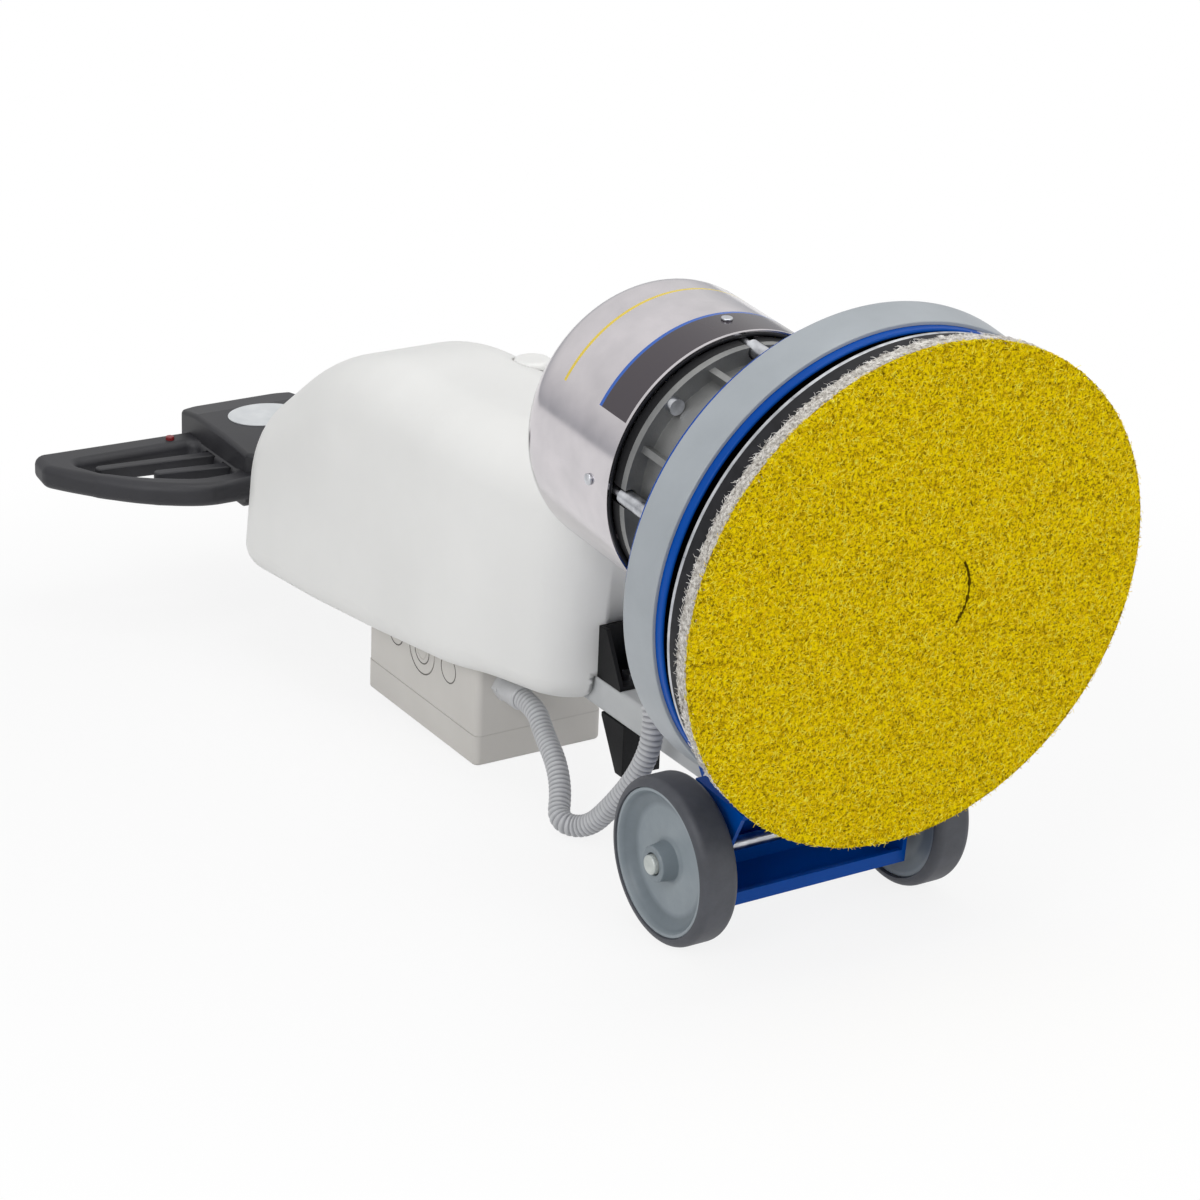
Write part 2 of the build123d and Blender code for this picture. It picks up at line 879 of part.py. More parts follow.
# Four screws through the cover into the studs
with BuildPart() as cover_screws:
    for turn in quarters:
        with BuildSketch(radial(turn, stud_circle + screw_fit, screw_depth)):
            Circle(cover_screw_radius)
        extrude(amount=cover_radius - stud_circle - screw_fit)
        with BuildSketch(radial(turn, cover_radius, screw_depth)):
            Circle(cover_screw_head)
        extrude(amount=cover_screw_rise)
    fillet(cover_screws.edges().filter_by(GeomType.CIRCLE).group_by(SortBy.RADIUS)[-1], cover_screw_rise / 3)
cover_screws.part.label = "cover_screws"
export_step(cover_screws.part, "parts/cover_screws.step")

# Hexagon bolts of the housing foot and of the motor flange
with BuildPart() as housing_bolts:
    with BuildSketch(base_at(deck_rear - deck_wall)):
        with PolarLocations(stud_circle, 4, start_angle=45):
            Circle(housing_bolt_radius)
    extrude(amount=deck_wall + foot_depth)
    with BuildSketch(base_at(foot_rear)):
        with PolarLocations(stud_circle, 4, start_angle=45):
            RegularPolygon(housing_bolt_head, 6)
    extrude(amount=housing_bolt_depth)
    with BuildSketch(base_at(flange_front)):
        with PolarLocations(flange_bolt_circle, 4, start_angle=45):
            Circle(housing_bolt_radius)
    extrude(amount=flange_depth + adapter_depth)
    with BuildSketch(base_at(flange_front)):
        with PolarLocations(flange_bolt_circle, 4, start_angle=45):
            Circle(housing_bolt_head)
    extrude(amount=-housing_bolt_depth)
housing_bolts.part.label = "housing_bolts"
export_step(housing_bolts.part, "parts/housing_bolts.step")

# Round blue deck pan that carries the gear housing
with BuildPart() as deck:
    with BuildSketch(base_at(deck_front)):
        Circle(deck_radius)
    extrude(amount=deck_depth)
    fillet(deck.edges().sort_by(motor_axis)[-1], deck_corner)
    offset(amount=-deck_wall, openings=deck.faces().sort_by(motor_axis)[0])
    with BuildSketch(base_at(deck_rear - deck_wall)):
        Circle(deck_bore)
        with PolarLocations(stud_circle, 4):
            Circle(stud_radius + screw_fit)
        with PolarLocations(stud_circle, 4, start_angle=45):
            Circle(housing_bolt_radius + screw_fit)
        with Locations((0, -bracket_bolt_middle)):
            with GridLocations(bracket_bolt_spread, bracket_bolt_pitch, 2, 2):
                Circle(bracket_bolt_radius + screw_fit)
    extrude(amount=deck_wall, mode=Mode.SUBTRACT)
deck.part.label = "deck"
export_step(deck.part, "parts/deck.step")

# Grey rubber skirt round the deck, cut away over the wheel bracket
with BuildPart() as skirt:
    with BuildSketch(base_plan):
        with BuildLine():
            Polyline(
                (deck_radius, skirt_start),
                (deck_radius + skirt_lip + bead_rise, skirt_start),
                (deck_radius + skirt_lip + bead_rise, skirt_start + bead_width),
                (deck_radius + skirt_lip, skirt_start + bead_width + bead_rise),
                (deck_radius + skirt_lip + skirt_flare, skirt_end - bead_width - bead_rise),
                (deck_radius + skirt_lip + skirt_flare + bead_rise, skirt_end - bead_width),
                (deck_radius + skirt_lip + skirt_flare + bead_rise, skirt_end),
                (deck_radius, skirt_end),
                close=True,
            )
        make_face()
    revolve(axis=motor_axis)
    with BuildSketch(base_at(skirt_start + skirt_strip)):
        with Locations((0, -deck_radius)):
            Rectangle(2 * skirt_notch, deck_radius)
    extrude(amount=deck_depth, mode=Mode.SUBTRACT)
skirt.part.label = "skirt"
export_step(skirt.part, "parts/skirt.step")

# Folded blue wheel bracket with end plates, gussets, foot plate, hinge lugs and stop rod
with BuildPart() as wheel_bracket:
    with BuildSketch(base_side):
        with BuildLine():
            Polyline(
                (bracket_front, -bracket_top),
                (bracket_back, -bracket_top),
                (bracket_back, -bracket_bottom),
                (bracket_lip_front, -bracket_bottom),
                (bracket_lip_front, -bracket_bottom + lip_height),
                (bracket_lip_front + sheet, -bracket_bottom + lip_height),
                (bracket_lip_front + sheet, -bracket_bottom + sheet),
                (bracket_back - sheet, -bracket_bottom + sheet),
                (bracket_back - sheet, -bracket_top - sheet),
                (bracket_front, -bracket_top - sheet),
                close=True,
            )
        make_face()
    extrude(amount=bracket_half, both=True)
    for place in (-bracket_half, bracket_half - sheet):
        with BuildSketch(base_side.offset(place)):
            Polygon(
                (bracket_front, -bracket_top),
                (bracket_back, -bracket_top),
                (bracket_back, -bracket_bottom),
                (bracket_lip_front, -bracket_bottom),
                (bracket_lip_front, -(bracket_top + bracket_bottom) / 2 + lip_height),
                align=None,
            )
        extrude(amount=sheet)
    for place in (-gusset_half, gusset_half - sheet):
        with BuildSketch(base_side.offset(place)):
            Polygon(
                (deck_rear, -bracket_foot_high),
                (deck_rear + sheet, -bracket_foot_high),
                (bracket_back, -bracket_top),
                (deck_rear, -bracket_top),
                align=None,
            )
        extrude(amount=sheet)
    with BuildSketch(base_side):
        with Locations((deck_rear, -bracket_foot_high)):
            Rectangle(sheet, bracket_top - bracket_foot_high, align=(Align.MIN, Align.MAX))
    extrude(amount=gusset_half, both=True)
    for place in (-lug_gap - lug_width, lug_gap):
        with BuildSketch(base_side.offset(place)):
            with Locations((hinge_depth, -hinge_drop)):
                Circle(lug_radius)
            with Locations(stop_spot):
                Circle(stop_radius + sheet)
            with Locations((bracket_back - sheet / 2, -hinge_drop)):
                Rectangle(sheet, 3 * lug_radius)
            make_hull()
        extrude(amount=lug_width)
    with BuildSketch(base_side.offset(-lug_gap)):
        with Locations(stop_spot):
            Circle(stop_radius)
    extrude(amount=2 * lug_gap)
    with BuildSketch(base_side):
        with Locations((hinge_depth, -hinge_drop)):
            Circle(hinge_radius + screw_fit)
    extrude(amount=bracket_half, both=True, mode=Mode.SUBTRACT)
    with BuildSketch(base_side):
        with Locations((axle_depth, -axle_drop)):
            Circle(axle_radius + screw_fit)
    extrude(amount=bracket_half, both=True, mode=Mode.SUBTRACT)
    with BuildSketch(base_at(deck_rear)):
        with Locations((0, -bracket_bolt_middle)):
            with GridLocations(bracket_bolt_spread, bracket_bolt_pitch, 2, 2):
                Circle(bracket_bolt_radius + screw_fit)
    extrude(amount=sheet, mode=Mode.SUBTRACT)
wheel_bracket.part.label = "wheel_bracket"
export_step(wheel_bracket.part, "parts/wheel_bracket.step")

# Four bolts that hold the bracket's foot plate to the deck
with BuildPart() as bracket_bolts:
    with BuildSketch(base_at(deck_rear - deck_wall)):
        with Locations((0, -bracket_bolt_middle)):
            with GridLocations(bracket_bolt_spread, bracket_bolt_pitch, 2, 2):
                Circle(bracket_bolt_radius)
    extrude(amount=deck_wall + sheet)
    with BuildSketch(base_at(deck_rear + sheet)):
        with Locations((0, -bracket_bolt_middle)):
            with GridLocations(bracket_bolt_spread, bracket_bolt_pitch, 2, 2):
                RegularPolygon(bracket_bolt_head, 6)
    extrude(amount=bracket_bolt_depth)
bracket_bolts.part.label = "bracket_bolts"
export_step(bracket_bolts.part, "parts/bracket_bolts.step")

# Steel axle and its two push-on caps
with BuildPart() as axle:
    with BuildSketch(Plane(axle_point, (0, 1, 0), (1, 0, 0))):
        Circle(axle_radius)
    extrude(amount=axle_half, both=True)
    chamfer(axle.edges().filter_by(GeomType.CIRCLE), axle_chamfer)
axle.part.label = "axle"
export_step(axle.part, "parts/axle.step")

with BuildPart() as axle_caps:
    for place in (-cap_start - cap_depth, cap_start):
        with BuildSketch(Plane(axle_point + Vector(place, 0, 0), (0, 1, 0), (1, 0, 0))):
            Circle(cap_radius)
            Circle(axle_radius, mode=Mode.SUBTRACT)
        extrude(amount=cap_depth)
axle_caps.part.label = "axle_caps"
export_step(axle_caps.part, "parts/axle_caps.step")

# Wheel hub of grey plastic with a dished outer face and a boss on each side
with BuildPart() as wheel_hub_right:
    with BuildSketch(wheel_plan):
        with BuildLine():
            Polyline(
                (hub_inner, axle_radius + axle_fit),
                (hub_inner, boss_radius),
                (tyre_inner + rim_inset + web_depth, boss_radius + 2 * rim_inset),
                (tyre_inner + rim_inset, dish_floor_radius),
                (tyre_inner + rim_inset, seat_radius),
                (tyre_outer - rim_inset / 2, seat_radius),
                (tyre_outer - rim_inset / 2, seat_radius - rim_wall),
                (tyre_outer - dish_depth, dish_floor_radius),
                (tyre_outer - dish_depth, boss_radius + rim_inset),
                (hub_outer, boss_radius),
                (hub_outer, axle_radius + axle_fit),
                close=True,
            )
        make_face()
    revolve(axis=axle_axis)
wheel_hub_right.part.label = "wheel_hub_right"
export_step(wheel_hub_right.part, "parts/wheel_hub_right.step")

with BuildPart() as wheel_hub_left:
    mirror(wheel_hub_right.part, about=Plane.YZ)
wheel_hub_left.part.label = "wheel_hub_left"
export_step(wheel_hub_left.part, "parts/wheel_hub_left.step")

# Dark rubber tyre with rounded shoulders
with BuildPart() as tyre_right:
    with BuildSketch(wheel_plan) as tyre_profile:
        with Locations((wheel_track, seat_radius)):
            Rectangle(tyre_width, wheel_radius - seat_radius, align=(Align.CENTER, Align.MIN))
        fillet(tyre_profile.vertices().group_by(Axis.Y)[-1], tyre_shoulder)
    revolve(axis=axle_axis)
tyre_right.part.label = "tyre_right"
export_step(tyre_right.part, "parts/tyre_right.step")

with BuildPart() as tyre_left:
    mirror(tyre_right.part, about=Plane.YZ)
tyre_left.part.label = "tyre_left"
export_step(tyre_left.part, "parts/tyre_left.step")

# Hinge bolt across the two lugs
with BuildPart() as hinge_bolt:
    with BuildSketch(Plane(hinge_point, (0, 1, 0), (1, 0, 0))):
        Circle(hinge_radius)
    extrude(amount=lug_gap + lug_width, both=True)
    for place in (-lug_gap - lug_width - hinge_head_depth, lug_gap + lug_width):
        with BuildSketch(Plane(hinge_point + Vector(place, 0, 0), (0, 1, 0), (1, 0, 0))):
            RegularPolygon(hinge_head, 6)
        extrude(amount=hinge_head_depth)
hinge_bolt.part.label = "hinge_bolt"
export_step(hinge_bolt.part, "parts/hinge_bolt.step")

# Rectangular steel handle pole with the hinge bush welded through its end
pole_inside = pole_width - 2 * pole_wall

with BuildPart() as pole:
    with BuildSketch(pole_at(pole_start)):
        RectangleRounded(pole_width, pole_height, pole_round)
        RectangleRounded(pole_inside, pole_height - 2 * pole_wall, pole_round / 2, mode=Mode.SUBTRACT)
    extrude(amount=pole_end - pole_start)
    with BuildSketch(pole_side.offset(-lug_gap + bush_gap)):
        Circle(bush_radius)
    extrude(amount=2 * (lug_gap - bush_gap))
    with BuildSketch(pole_side.offset(-lug_gap)):
        Circle(hinge_radius + hinge_fit)
    extrude(amount=2 * lug_gap, mode=Mode.SUBTRACT)
    for height, place in ((pole_height / 2, upper_bolt), (-pole_height / 2, lower_bolt)):
        with BuildSketch(pole_plan(height)):
            with Locations((0, place)):
                Circle(pole_bolt_radius + screw_fit)
        extrude(amount=-math.copysign(pole_wall, height), mode=Mode.SUBTRACT)
pole.part.label = "pole"
export_step(pole.part, "parts/pole.step")

# Two identical black shelf brackets, the lower one turned half round
with BuildPart() as shelf_bracket:
    with BuildSketch(pole_side):
        with Locations((shelf_place, pole_height / 2)):
            Rectangle(shelf_sheet, shelf_rise, align=(Align.MAX, Align.MIN))
            Rectangle(shelf_length, shelf_sheet, align=(Align.MAX, Align.MIN))
    extrude(amount=pole_width / 2, both=True)
    for across in (-pole_width / 2, pole_width / 2 - shelf_sheet):
        with BuildSketch(pole_side.offset(across)):
            Polygon(
                (shelf_place, pole_height / 2),
                (shelf_place, pole_height / 2 + shelf_rise),
                (shelf_place - cheek_top, pole_height / 2 + shelf_rise),
                (shelf_place - shelf_length, pole_height / 2 + shelf_sheet),
                (shelf_place - shelf_length, pole_height / 2),
                align=None,
            )
        extrude(amount=shelf_sheet)
    with BuildSketch(pole_plan(pole_height / 2)):
        with Locations((0, upper_bolt)):
            Circle(pole_bolt_radius + screw_fit)
    extrude(amount=shelf_sheet, mode=Mode.SUBTRACT)
shelf_bracket.part.label = "shelf_bracket"
export_step(shelf_bracket.part, "parts/shelf_bracket.step")

with BuildPart() as lower_bracket:
    add(shelf_bracket.part.rotate(Axis(pole_point(0, bracket_turn, 0), (1, 0, 0)), 180))
lower_bracket.part.label = "lower_bracket"
export_step(lower_bracket.part, "parts/lower_bracket.step")

# One bolt through each shelf bracket into the pole
with BuildPart() as pole_bolts:
    for height, place in ((pole_height / 2, upper_bolt), (-pole_height / 2, lower_bolt)):
        sign = math.copysign(1, height)
        with BuildSketch(pole_plan(height - sign * pole_wall)):
            with Locations((0, place)):
                Circle(pole_bolt_radius)
        extrude(amount=sign * (pole_wall + shelf_sheet))
        with BuildSketch(pole_plan(height + sign * shelf_sheet)):
            with Locations((0, place)):
                RegularPolygon(pole_bolt_head, 6)
        extrude(amount=sign * pole_bolt_depth)
pole_bolts.part.label = "pole_bolts"
export_step(pole_bolts.part, "parts/pole_bolts.step")


def tank_outline(sketch, inset, half):
    side = half - inset
    Polygon(
        (-tank_nose_half + inset, tank_front + inset),
        (tank_nose_half - inset, tank_front + inset),
        (side - tank_taper, tank_front + tank_flare),
        (side, tank_front + 2 * tank_flare),
        (side, tank_rear + tank_edge),
        (-side, tank_rear + tank_edge),
        (-side, tank_front + 2 * tank_flare),
        (-side + tank_taper, tank_front + tank_flare),
        align=None,
    )
    fillet(sketch.vertices().group_by(Axis.Y)[1], tank_side_round)
    fillet(sketch.vertices().group_by(Axis.Y)[0], tank_nose_round - inset)


def tank_top(place):
    return tank_front_top + (tank_knee_top - tank_front_top) * (place - tank_front) / (tank_knee - tank_front)


def tank_profile(sketch, inset, front_floor, rear_floor, *bends):
    front = tank_front - tank_wall
    knee = (tank_knee, tank_knee_top - inset)
    shoulder = (tank_rear - inset, tank_rear_top - inset)
    Polygon(
        (front, front_floor),
        (front, tank_top(front) - inset),
        knee,
        shoulder,
        (tank_rear - inset, rear_floor),
        *bends,
        align=None,
    )
    fillet(sketch.vertices().sort_by_distance(knee)[0], tank_knee_round)
    fillet(sketch.vertices().sort_by_distance(shoulder)[0], tank_rear_round - inset)
    for bend in bends:
        fillet(sketch.vertices().sort_by_distance(bend)[0], tank_bend_round)


top_turn = math.atan2(tank_front_top - tank_knee_top, tank_knee - tank_front)
filler_up = pole_up * math.cos(top_turn) + pole_way * math.sin(top_turn)
filler_point = pole_point(filler_offset, filler_place, tank_top(filler_place) - filler_drop)


def filler_at(height):
    return Plane(origin=filler_point + filler_up * height, x_dir=(1, 0, 0), z_dir=filler_up)


def faces_down(face):
    return face.normal_at().dot(pole_up) < -level_limit


def faces_back(face):
    normal = face.normal_at()
    lowest = min(normal.dot(pole_up), normal.dot(pole_way))
    return abs(normal.X) < upright_limit and lowest > -level_limit / 2


def outer_edges(group):
    return [e for e in group.edges() if sum(any(e.is_same(other) for other in f.edges()) for f in group) == 1]


def shoulder_edges(shell):
    foot = shell.faces().filter_by(faces_down).edges()
    edges = outer_edges(shell.faces().filter_by(faces_back))
    return [e for e in edges if not any(e.is_same(other) for other in foot)]


upright = Axis(hinge_point, pole_up)
slot_half = pole_width / 2 + tank_side_gap
slot_top = pole_height / 2 + tank_seat_gap
space_floor = slot_top + tank_wall

# Space inside the tank, above the channel for the pole
with BuildPart() as tank_space:
    with BuildSketch(pole_plan(tank_foot)) as foot_plan:
        tank_outline(foot_plan, tank_wall, tank_half)
    with BuildSketch(pole_plan(tank_crown)) as crown_plan:
        tank_outline(crown_plan, tank_wall, tank_top_half)
    loft()
    with BuildSketch(pole_side) as space_side:
        tank_profile(space_side, tank_wall, space_floor, space_floor)
    extrude(amount=tank_half, both=True, mode=Mode.INTERSECT)
    fillet(shoulder_edges(tank_space), tank_edge - tank_wall)

# Hollow white solution tank straddling the pole, with its filler neck
floor_bends = [(tank_front + tank_sag, tank_sag_bottom), (tank_front + tank_bend, tank_bend_bottom)]

with BuildPart() as tank:
    with BuildSketch(pole_plan(tank_foot)) as foot_plan:
        tank_outline(foot_plan, 0, tank_half)
    with BuildSketch(pole_plan(tank_crown)) as crown_plan:
        tank_outline(crown_plan, 0, tank_top_half)
    loft()
    with BuildSketch(pole_side) as tank_side:
        tank_profile(tank_side, 0, tank_front_bottom, tank_rear_bottom, *floor_bends)
    extrude(amount=tank_half + tank_edge, both=True, mode=Mode.INTERSECT)
    fillet(shoulder_edges(tank), tank_edge)
    fillet(outer_edges(tank.faces().filter_by(faces_down)), tank_foot_round)
    with BuildSketch(filler_at(0)):
        Circle(filler_radius + cap_overhang + filler_room)
    extrude(amount=filler_drop, mode=Mode.SUBTRACT)
    with BuildSketch(filler_at(-filler_reach)):
        Circle(filler_radius)
    extrude(amount=filler_reach + filler_rise)
    add(tank_space.part, mode=Mode.SUBTRACT)
    with BuildSketch(filler_at(-filler_reach)):
        Circle(filler_radius - filler_wall)
    extrude(amount=filler_reach + filler_rise, mode=Mode.SUBTRACT)
    with BuildSketch(pole_at(tank_front - tank_wall)):
        Polygon(
            (-slot_half, slot_top),
            (slot_half, slot_top),
            (slot_half, slot_top - tank_flank),
            (slot_half + tank_flank, tank_foot),
            (-slot_half - tank_flank, tank_foot),
            (-slot_half, slot_top - tank_flank),
            align=None,
        )
    extrude(amount=tank_length + 2 * tank_wall, mode=Mode.SUBTRACT)
    with BuildSketch(pole_at(box_front - tank_side_gap)):
        with Locations((0, -pole_height / 2 + tank_side_gap)):
            Rectangle(2 * (box_half + tank_side_gap), tank_half, align=(Align.CENTER, Align.MAX))
    extrude(amount=tank_length, mode=Mode.SUBTRACT)
tank.part.label = "tank"
export_step(tank.part, "parts/tank.step")

# Domed filler cap with a plug
cap_seat = filler_rise + cap_gap

with BuildPart() as tank_cap:
    with BuildSketch(filler_at(cap_seat)):
        Circle(filler_radius + cap_overhang)
    extrude(amount=cap_thickness)
    fillet(tank_cap.edges().sort_by(Axis(filler_point, filler_up))[-1], cap_dome)
    with BuildSketch(filler_at(cap_seat - cap_plug)):
        Circle(filler_radius - filler_wall - cap_gap)
    extrude(amount=cap_plug)
tank_cap.part.label = "tank_cap"
export_step(tank_cap.part, "parts/tank_cap.step")

# Control box body, open towards its lid, with knock-out rings in its sides
box_top = -pole_height / 2
box_bottom = (lid_round - hinge_point.Z - (box_front + lid_round) * pole_way.Z) / pole_up.Z - lid_round
box_middle = box_front + box_length / 2
lid_top = box_bottom + lid_height

with BuildPart() as box_body:
    with BuildSketch(pole_plan(lid_top)):
        with Locations((0, box_middle)):
            RectangleRounded(2 * box_half, box_length, box_corner)
    extrude(amount=box_top - lid_top)
    fillet(box_body.faces().sort_by(upright)[-1].edges(), lid_round)
    offset(amount=-box_wall, openings=box_body.faces().sort_by(upright)[0])
    for side in (-1, 1):
        spot = pole_point(side * (box_half - knockout_depth), box_middle, box_top - knockout_drop)
        with BuildSketch(Plane(spot, pole_way, (side, 0, 0))):
            with Locations((-knockout_spacing, 0), (0, 0), (knockout_spacing, 0)):
                Circle(knockout_radius)
                Circle(knockout_radius - knockout_groove, mode=Mode.SUBTRACT)
            Circle(knockout_radius - 4 * knockout_groove)
            Circle(knockout_radius - 5 * knockout_groove, mode=Mode.SUBTRACT)
        extrude(amount=knockout_depth, mode=Mode.SUBTRACT)
box_body.part.label = "box_body"
export_step(box_body.part, "parts/box_body.step")

# Box lid on the floor side
with BuildPart() as box_lid:
    with BuildSketch(pole_plan(box_bottom)):
        with Locations((0, box_middle)):
            RectangleRounded(2 * (box_half + lid_step), box_length, box_corner)
    extrude(amount=lid_height)
    fillet(box_lid.faces().sort_by(upright)[0].edges(), lid_round)
    offset(amount=-box_wall, openings=box_lid.faces().sort_by(upright)[-1])
    with BuildSketch(pole_plan(box_bottom)):
        with Locations((0, box_middle)):
            with GridLocations(2 * (box_half - lid_screw_inset), box_length - 2 * lid_screw_inset, 2, 2):
                Circle(lid_screw_radius + screw_fit)
    extrude(amount=box_wall, mode=Mode.SUBTRACT)
box_lid.part.label = "box_lid"
export_step(box_lid.part, "parts/box_lid.step")

# Four plastic lid screws
with BuildPart() as lid_screws:
    with BuildSketch(pole_plan(box_bottom + lid_round / 2)):
        with Locations((0, box_middle)):
            with GridLocations(2 * (box_half - lid_screw_inset), box_length - 2 * lid_screw_inset, 2, 2):
                Circle(lid_screw_radius)
    extrude(amount=lid_screw_depth)
lid_screws.part.label = "lid_screws"
export_step(lid_screws.part, "parts/lid_screws.step")

gland_height = box_top - gland_drop

# Glands that hold the two ends of the conduit
box_gland_place = Plane(pole_point(-gland_offset, box_front, gland_height), (1, 0, 0), -pole_way)

with BuildPart() as box_gland:
    with BuildSketch(box_gland_place):
        RegularPolygon(gland_nut_radius, 6)
    extrude(amount=gland_nut_depth)
    with BuildSketch(box_gland_place):
        Circle(gland_radius)
    extrude(amount=gland_length)
    chamfer(box_gland.edges().sort_by(Axis(hinge_point, pole_way))[0], gland_chamfer)
box_gland.part.label = "box_gland"
export_step(box_gland.part, "parts/box_gland.step")

motor_gland_place = Plane(entry_point, (1, 0, 0), -motor_up)

with BuildPart() as motor_gland:
    with BuildSketch(motor_gland_place):
        RegularPolygon(gland_nut_radius, 6)
    extrude(amount=gland_nut_depth)
    with BuildSketch(motor_gland_place.offset(-entry_reach)):
        Circle(gland_radius)
    extrude(amount=entry_reach + gland_length)
    chamfer(motor_gland.edges().sort_by(Axis(pad_point, motor_up))[0], gland_chamfer)
motor_gland.part.label = "motor_gland"
export_step(motor_gland.part, "parts/motor_gland.step")

# Corrugated conduit that sags from the box to the floor and climbs to the motor cover
conduit_start = pole_point(-gland_offset, box_front - gland_length, gland_height)
conduit_end = entry_point - motor_up * gland_length
conduit_route = [
    conduit_start,
    conduit_start - pole_way * conduit_run,
    conduit_start + Vector(-7, -49, -16),
    conduit_start + Vector(-17, -88, -30),
    conduit_start + Vector(-28, -113, -47),
    Vector(conduit_start.X - 45, conduit_start.Y - 135, conduit_low),
    Vector(conduit_start.X - 30, conduit_start.Y - 161, conduit_low),
    conduit_end + Vector(-17, 40, -172),
    conduit_end + Vector(-9, 10, -133),
    conduit_end + Vector(-3, -4, -94),
    conduit_end - motor_up * conduit_climb,
    conduit_end,
]
conduit_radii = []
for before, corner, after in zip(conduit_route, conduit_route[1:], conduit_route[2:]):
    turn = math.radians((corner - before).get_angle(after - corner))
    shorter = min((corner - before).length, (after - corner).length)
    conduit_radii.append(0.45 * shorter / math.tan(turn / 2))
print("conduit radii", [round(radius) for radius in conduit_radii])

with BuildPart() as conduit:
    with BuildLine() as conduit_line:
        FilletPolyline(*conduit_route, radius=conduit_radii)
    with BuildSketch(Plane(conduit_start, (1, 0, 0), conduit_line.line % 0)):
        Circle(conduit_radius)
    sweep()
conduit.part.label = "conduit"
export_step(conduit.part, "parts/conduit.step")
print("conduit length", round(conduit_line.wire().length), "volume", round(conduit.part.volume))

# Middle block of the handle head, with the neck that takes the pole
bow_end = head_rear - head_bow

with BuildPart() as head_block:
    with BuildSketch(pole_side) as block_side:
        Polygon(
            (head_front, -neck_height),
            (head_front, neck_height),
            (head_front + neck_length, head_top - neck_slope),
            (label_place - label_length / 2, head_top),
            (label_place + label_length / 2, head_top),
            (head_rear, head_top - block_drop),
            (head_rear, -block_rise),
            (label_place + label_length / 2, -head_bottom),
            (head_front + 1.5 * neck_length, -head_bottom),
            (head_front + neck_length, -head_bottom + block_rise / 2),
            align=None,
        )
        fillet(block_side.vertices().group_by(Axis.X)[-1], block_round)
    extrude(amount=head_half, both=True)
    with BuildSketch(pole_plan(-head_bottom)) as block_plan:
        with BuildLine():
            Polyline(
                (head_half, bow_end),
                (head_half, head_front + 1.2 * neck_length),
                (neck_half, head_front + neck_length / 2),
                (neck_half, head_front),
                (-neck_half, head_front),
                (-neck_half, head_front + neck_length / 2),
                (-head_half, head_front + 1.2 * neck_length),
                (-head_half, bow_end),
            )
            ThreePointArc((-head_half, bow_end), (0, head_rear), (head_half, bow_end))
        make_face()
    extrude(amount=head_bottom + head_top, mode=Mode.INTERSECT)

# Finger loop on one side: a bowed front bar and a straight rear bar
bar_front = loop_front + bar_width
rear_bar_front = loop_rear - rear_bar
loop_shoulder = loop_reach - shoulder_inset
loop_elbow = loop_reach - elbow_inset
switch_reach = loop_reach - switch_inset
valve_reach = loop_reach - valve_inset

with BuildPart() as finger_loop:
    with BuildSketch(pole_plan(loop_bottom)) as loop_plan:
        Polygon(
            (-head_half + loop_root, loop_front),
            (-head_half - loop_straight, loop_front),
            (-loop_shoulder, loop_front + bow_low),
            (-loop_elbow, loop_front + bow_high),
            (-loop_reach, rear_bar_front),
            (-loop_reach + loop_round / 2, loop_tip_rear),
            (-head_half + loop_root, loop_rear),
            align=None,
        )
        bends = [v for v in loop_plan.vertices() if -loop_elbow - 1 < v.X < -head_half - loop_round]
        fillet(bends, loop_bend)
        fillet(loop_plan.vertices().sort_by(Axis.X)[:2], loop_tip_bend)
    extrude(amount=loop_top - loop_bottom)
    with BuildSketch(pole_plan(loop_bottom)) as gap_plan:
        Polygon(
            (-head_half - gap_inset, bar_front),
            (-head_half - loop_straight + gap_inset, bar_front),
            (-loop_shoulder + bar_width / 3, loop_front + bow_low + bar_width - gap_inset),
            (-loop_elbow + bar_width / 2, loop_front + bow_high + bar_width / 2),
            (-loop_reach + bar_width, rear_bar_front),
            (-head_half - gap_inset, rear_bar_front),
            align=None,
        )
        fillet(gap_plan.vertices(), gap_round)
    extrude(amount=loop_top - loop_bottom, mode=Mode.SUBTRACT)
    fillet(finger_loop.faces().sort_by(upright)[-1].edges(), loop_round)
    fillet(finger_loop.faces().sort_by(upright)[0].edges(), loop_round)

# Both halves of the head before they are parted
pivot_low = lever_bottom - pin_length
pivot_high = lever_top + pin_length

with BuildPart() as head_whole:
    add(head_block.part)
    add(finger_loop.part)
    mirror(finger_loop.part, about=Plane.YZ)
    with BuildSketch(pole_at(head_front)):
        RectangleRounded(pole_width + 2 * socket_fit, pole_height + 2 * socket_fit, pole_round)
    extrude(amount=pole_end - head_front + socket_fit, mode=Mode.SUBTRACT)
    with BuildSketch(pole_plan(lever_bottom - lever_room)):
        for side in (-1, 1):
            with Locations((side * pocket_middle, switch_place), (side * pocket_middle, valve_place)):
                Rectangle(pocket_length, pocket_width)
    extrude(amount=lever_top - lever_bottom + 2 * lever_room, mode=Mode.SUBTRACT)
    with BuildSketch(pole_plan(pivot_low)):
        for side in (-1, 1):
            with Locations((side * lever_pivot_in, switch_place), (side * lever_pivot_in, valve_place)):
                Circle(lever_pin + running_fit)
    extrude(amount=pivot_high - pivot_low, mode=Mode.SUBTRACT)
    with BuildSketch(pole_plan(loop_top)):
        with Locations((-button_x, button_place)):
            Circle(button_radius + button_fit)
    extrude(amount=-button_depth - button_travel - button_fit, mode=Mode.SUBTRACT)

# Upper and lower half of the head
with BuildPart() as head_upper:
    add(head_whole.part)
    split(bisect_by=pole_plan(head_split), keep=Keep.TOP)
head_upper.part.label = "head_upper"
export_step(head_upper.part, "parts/head_upper.step")

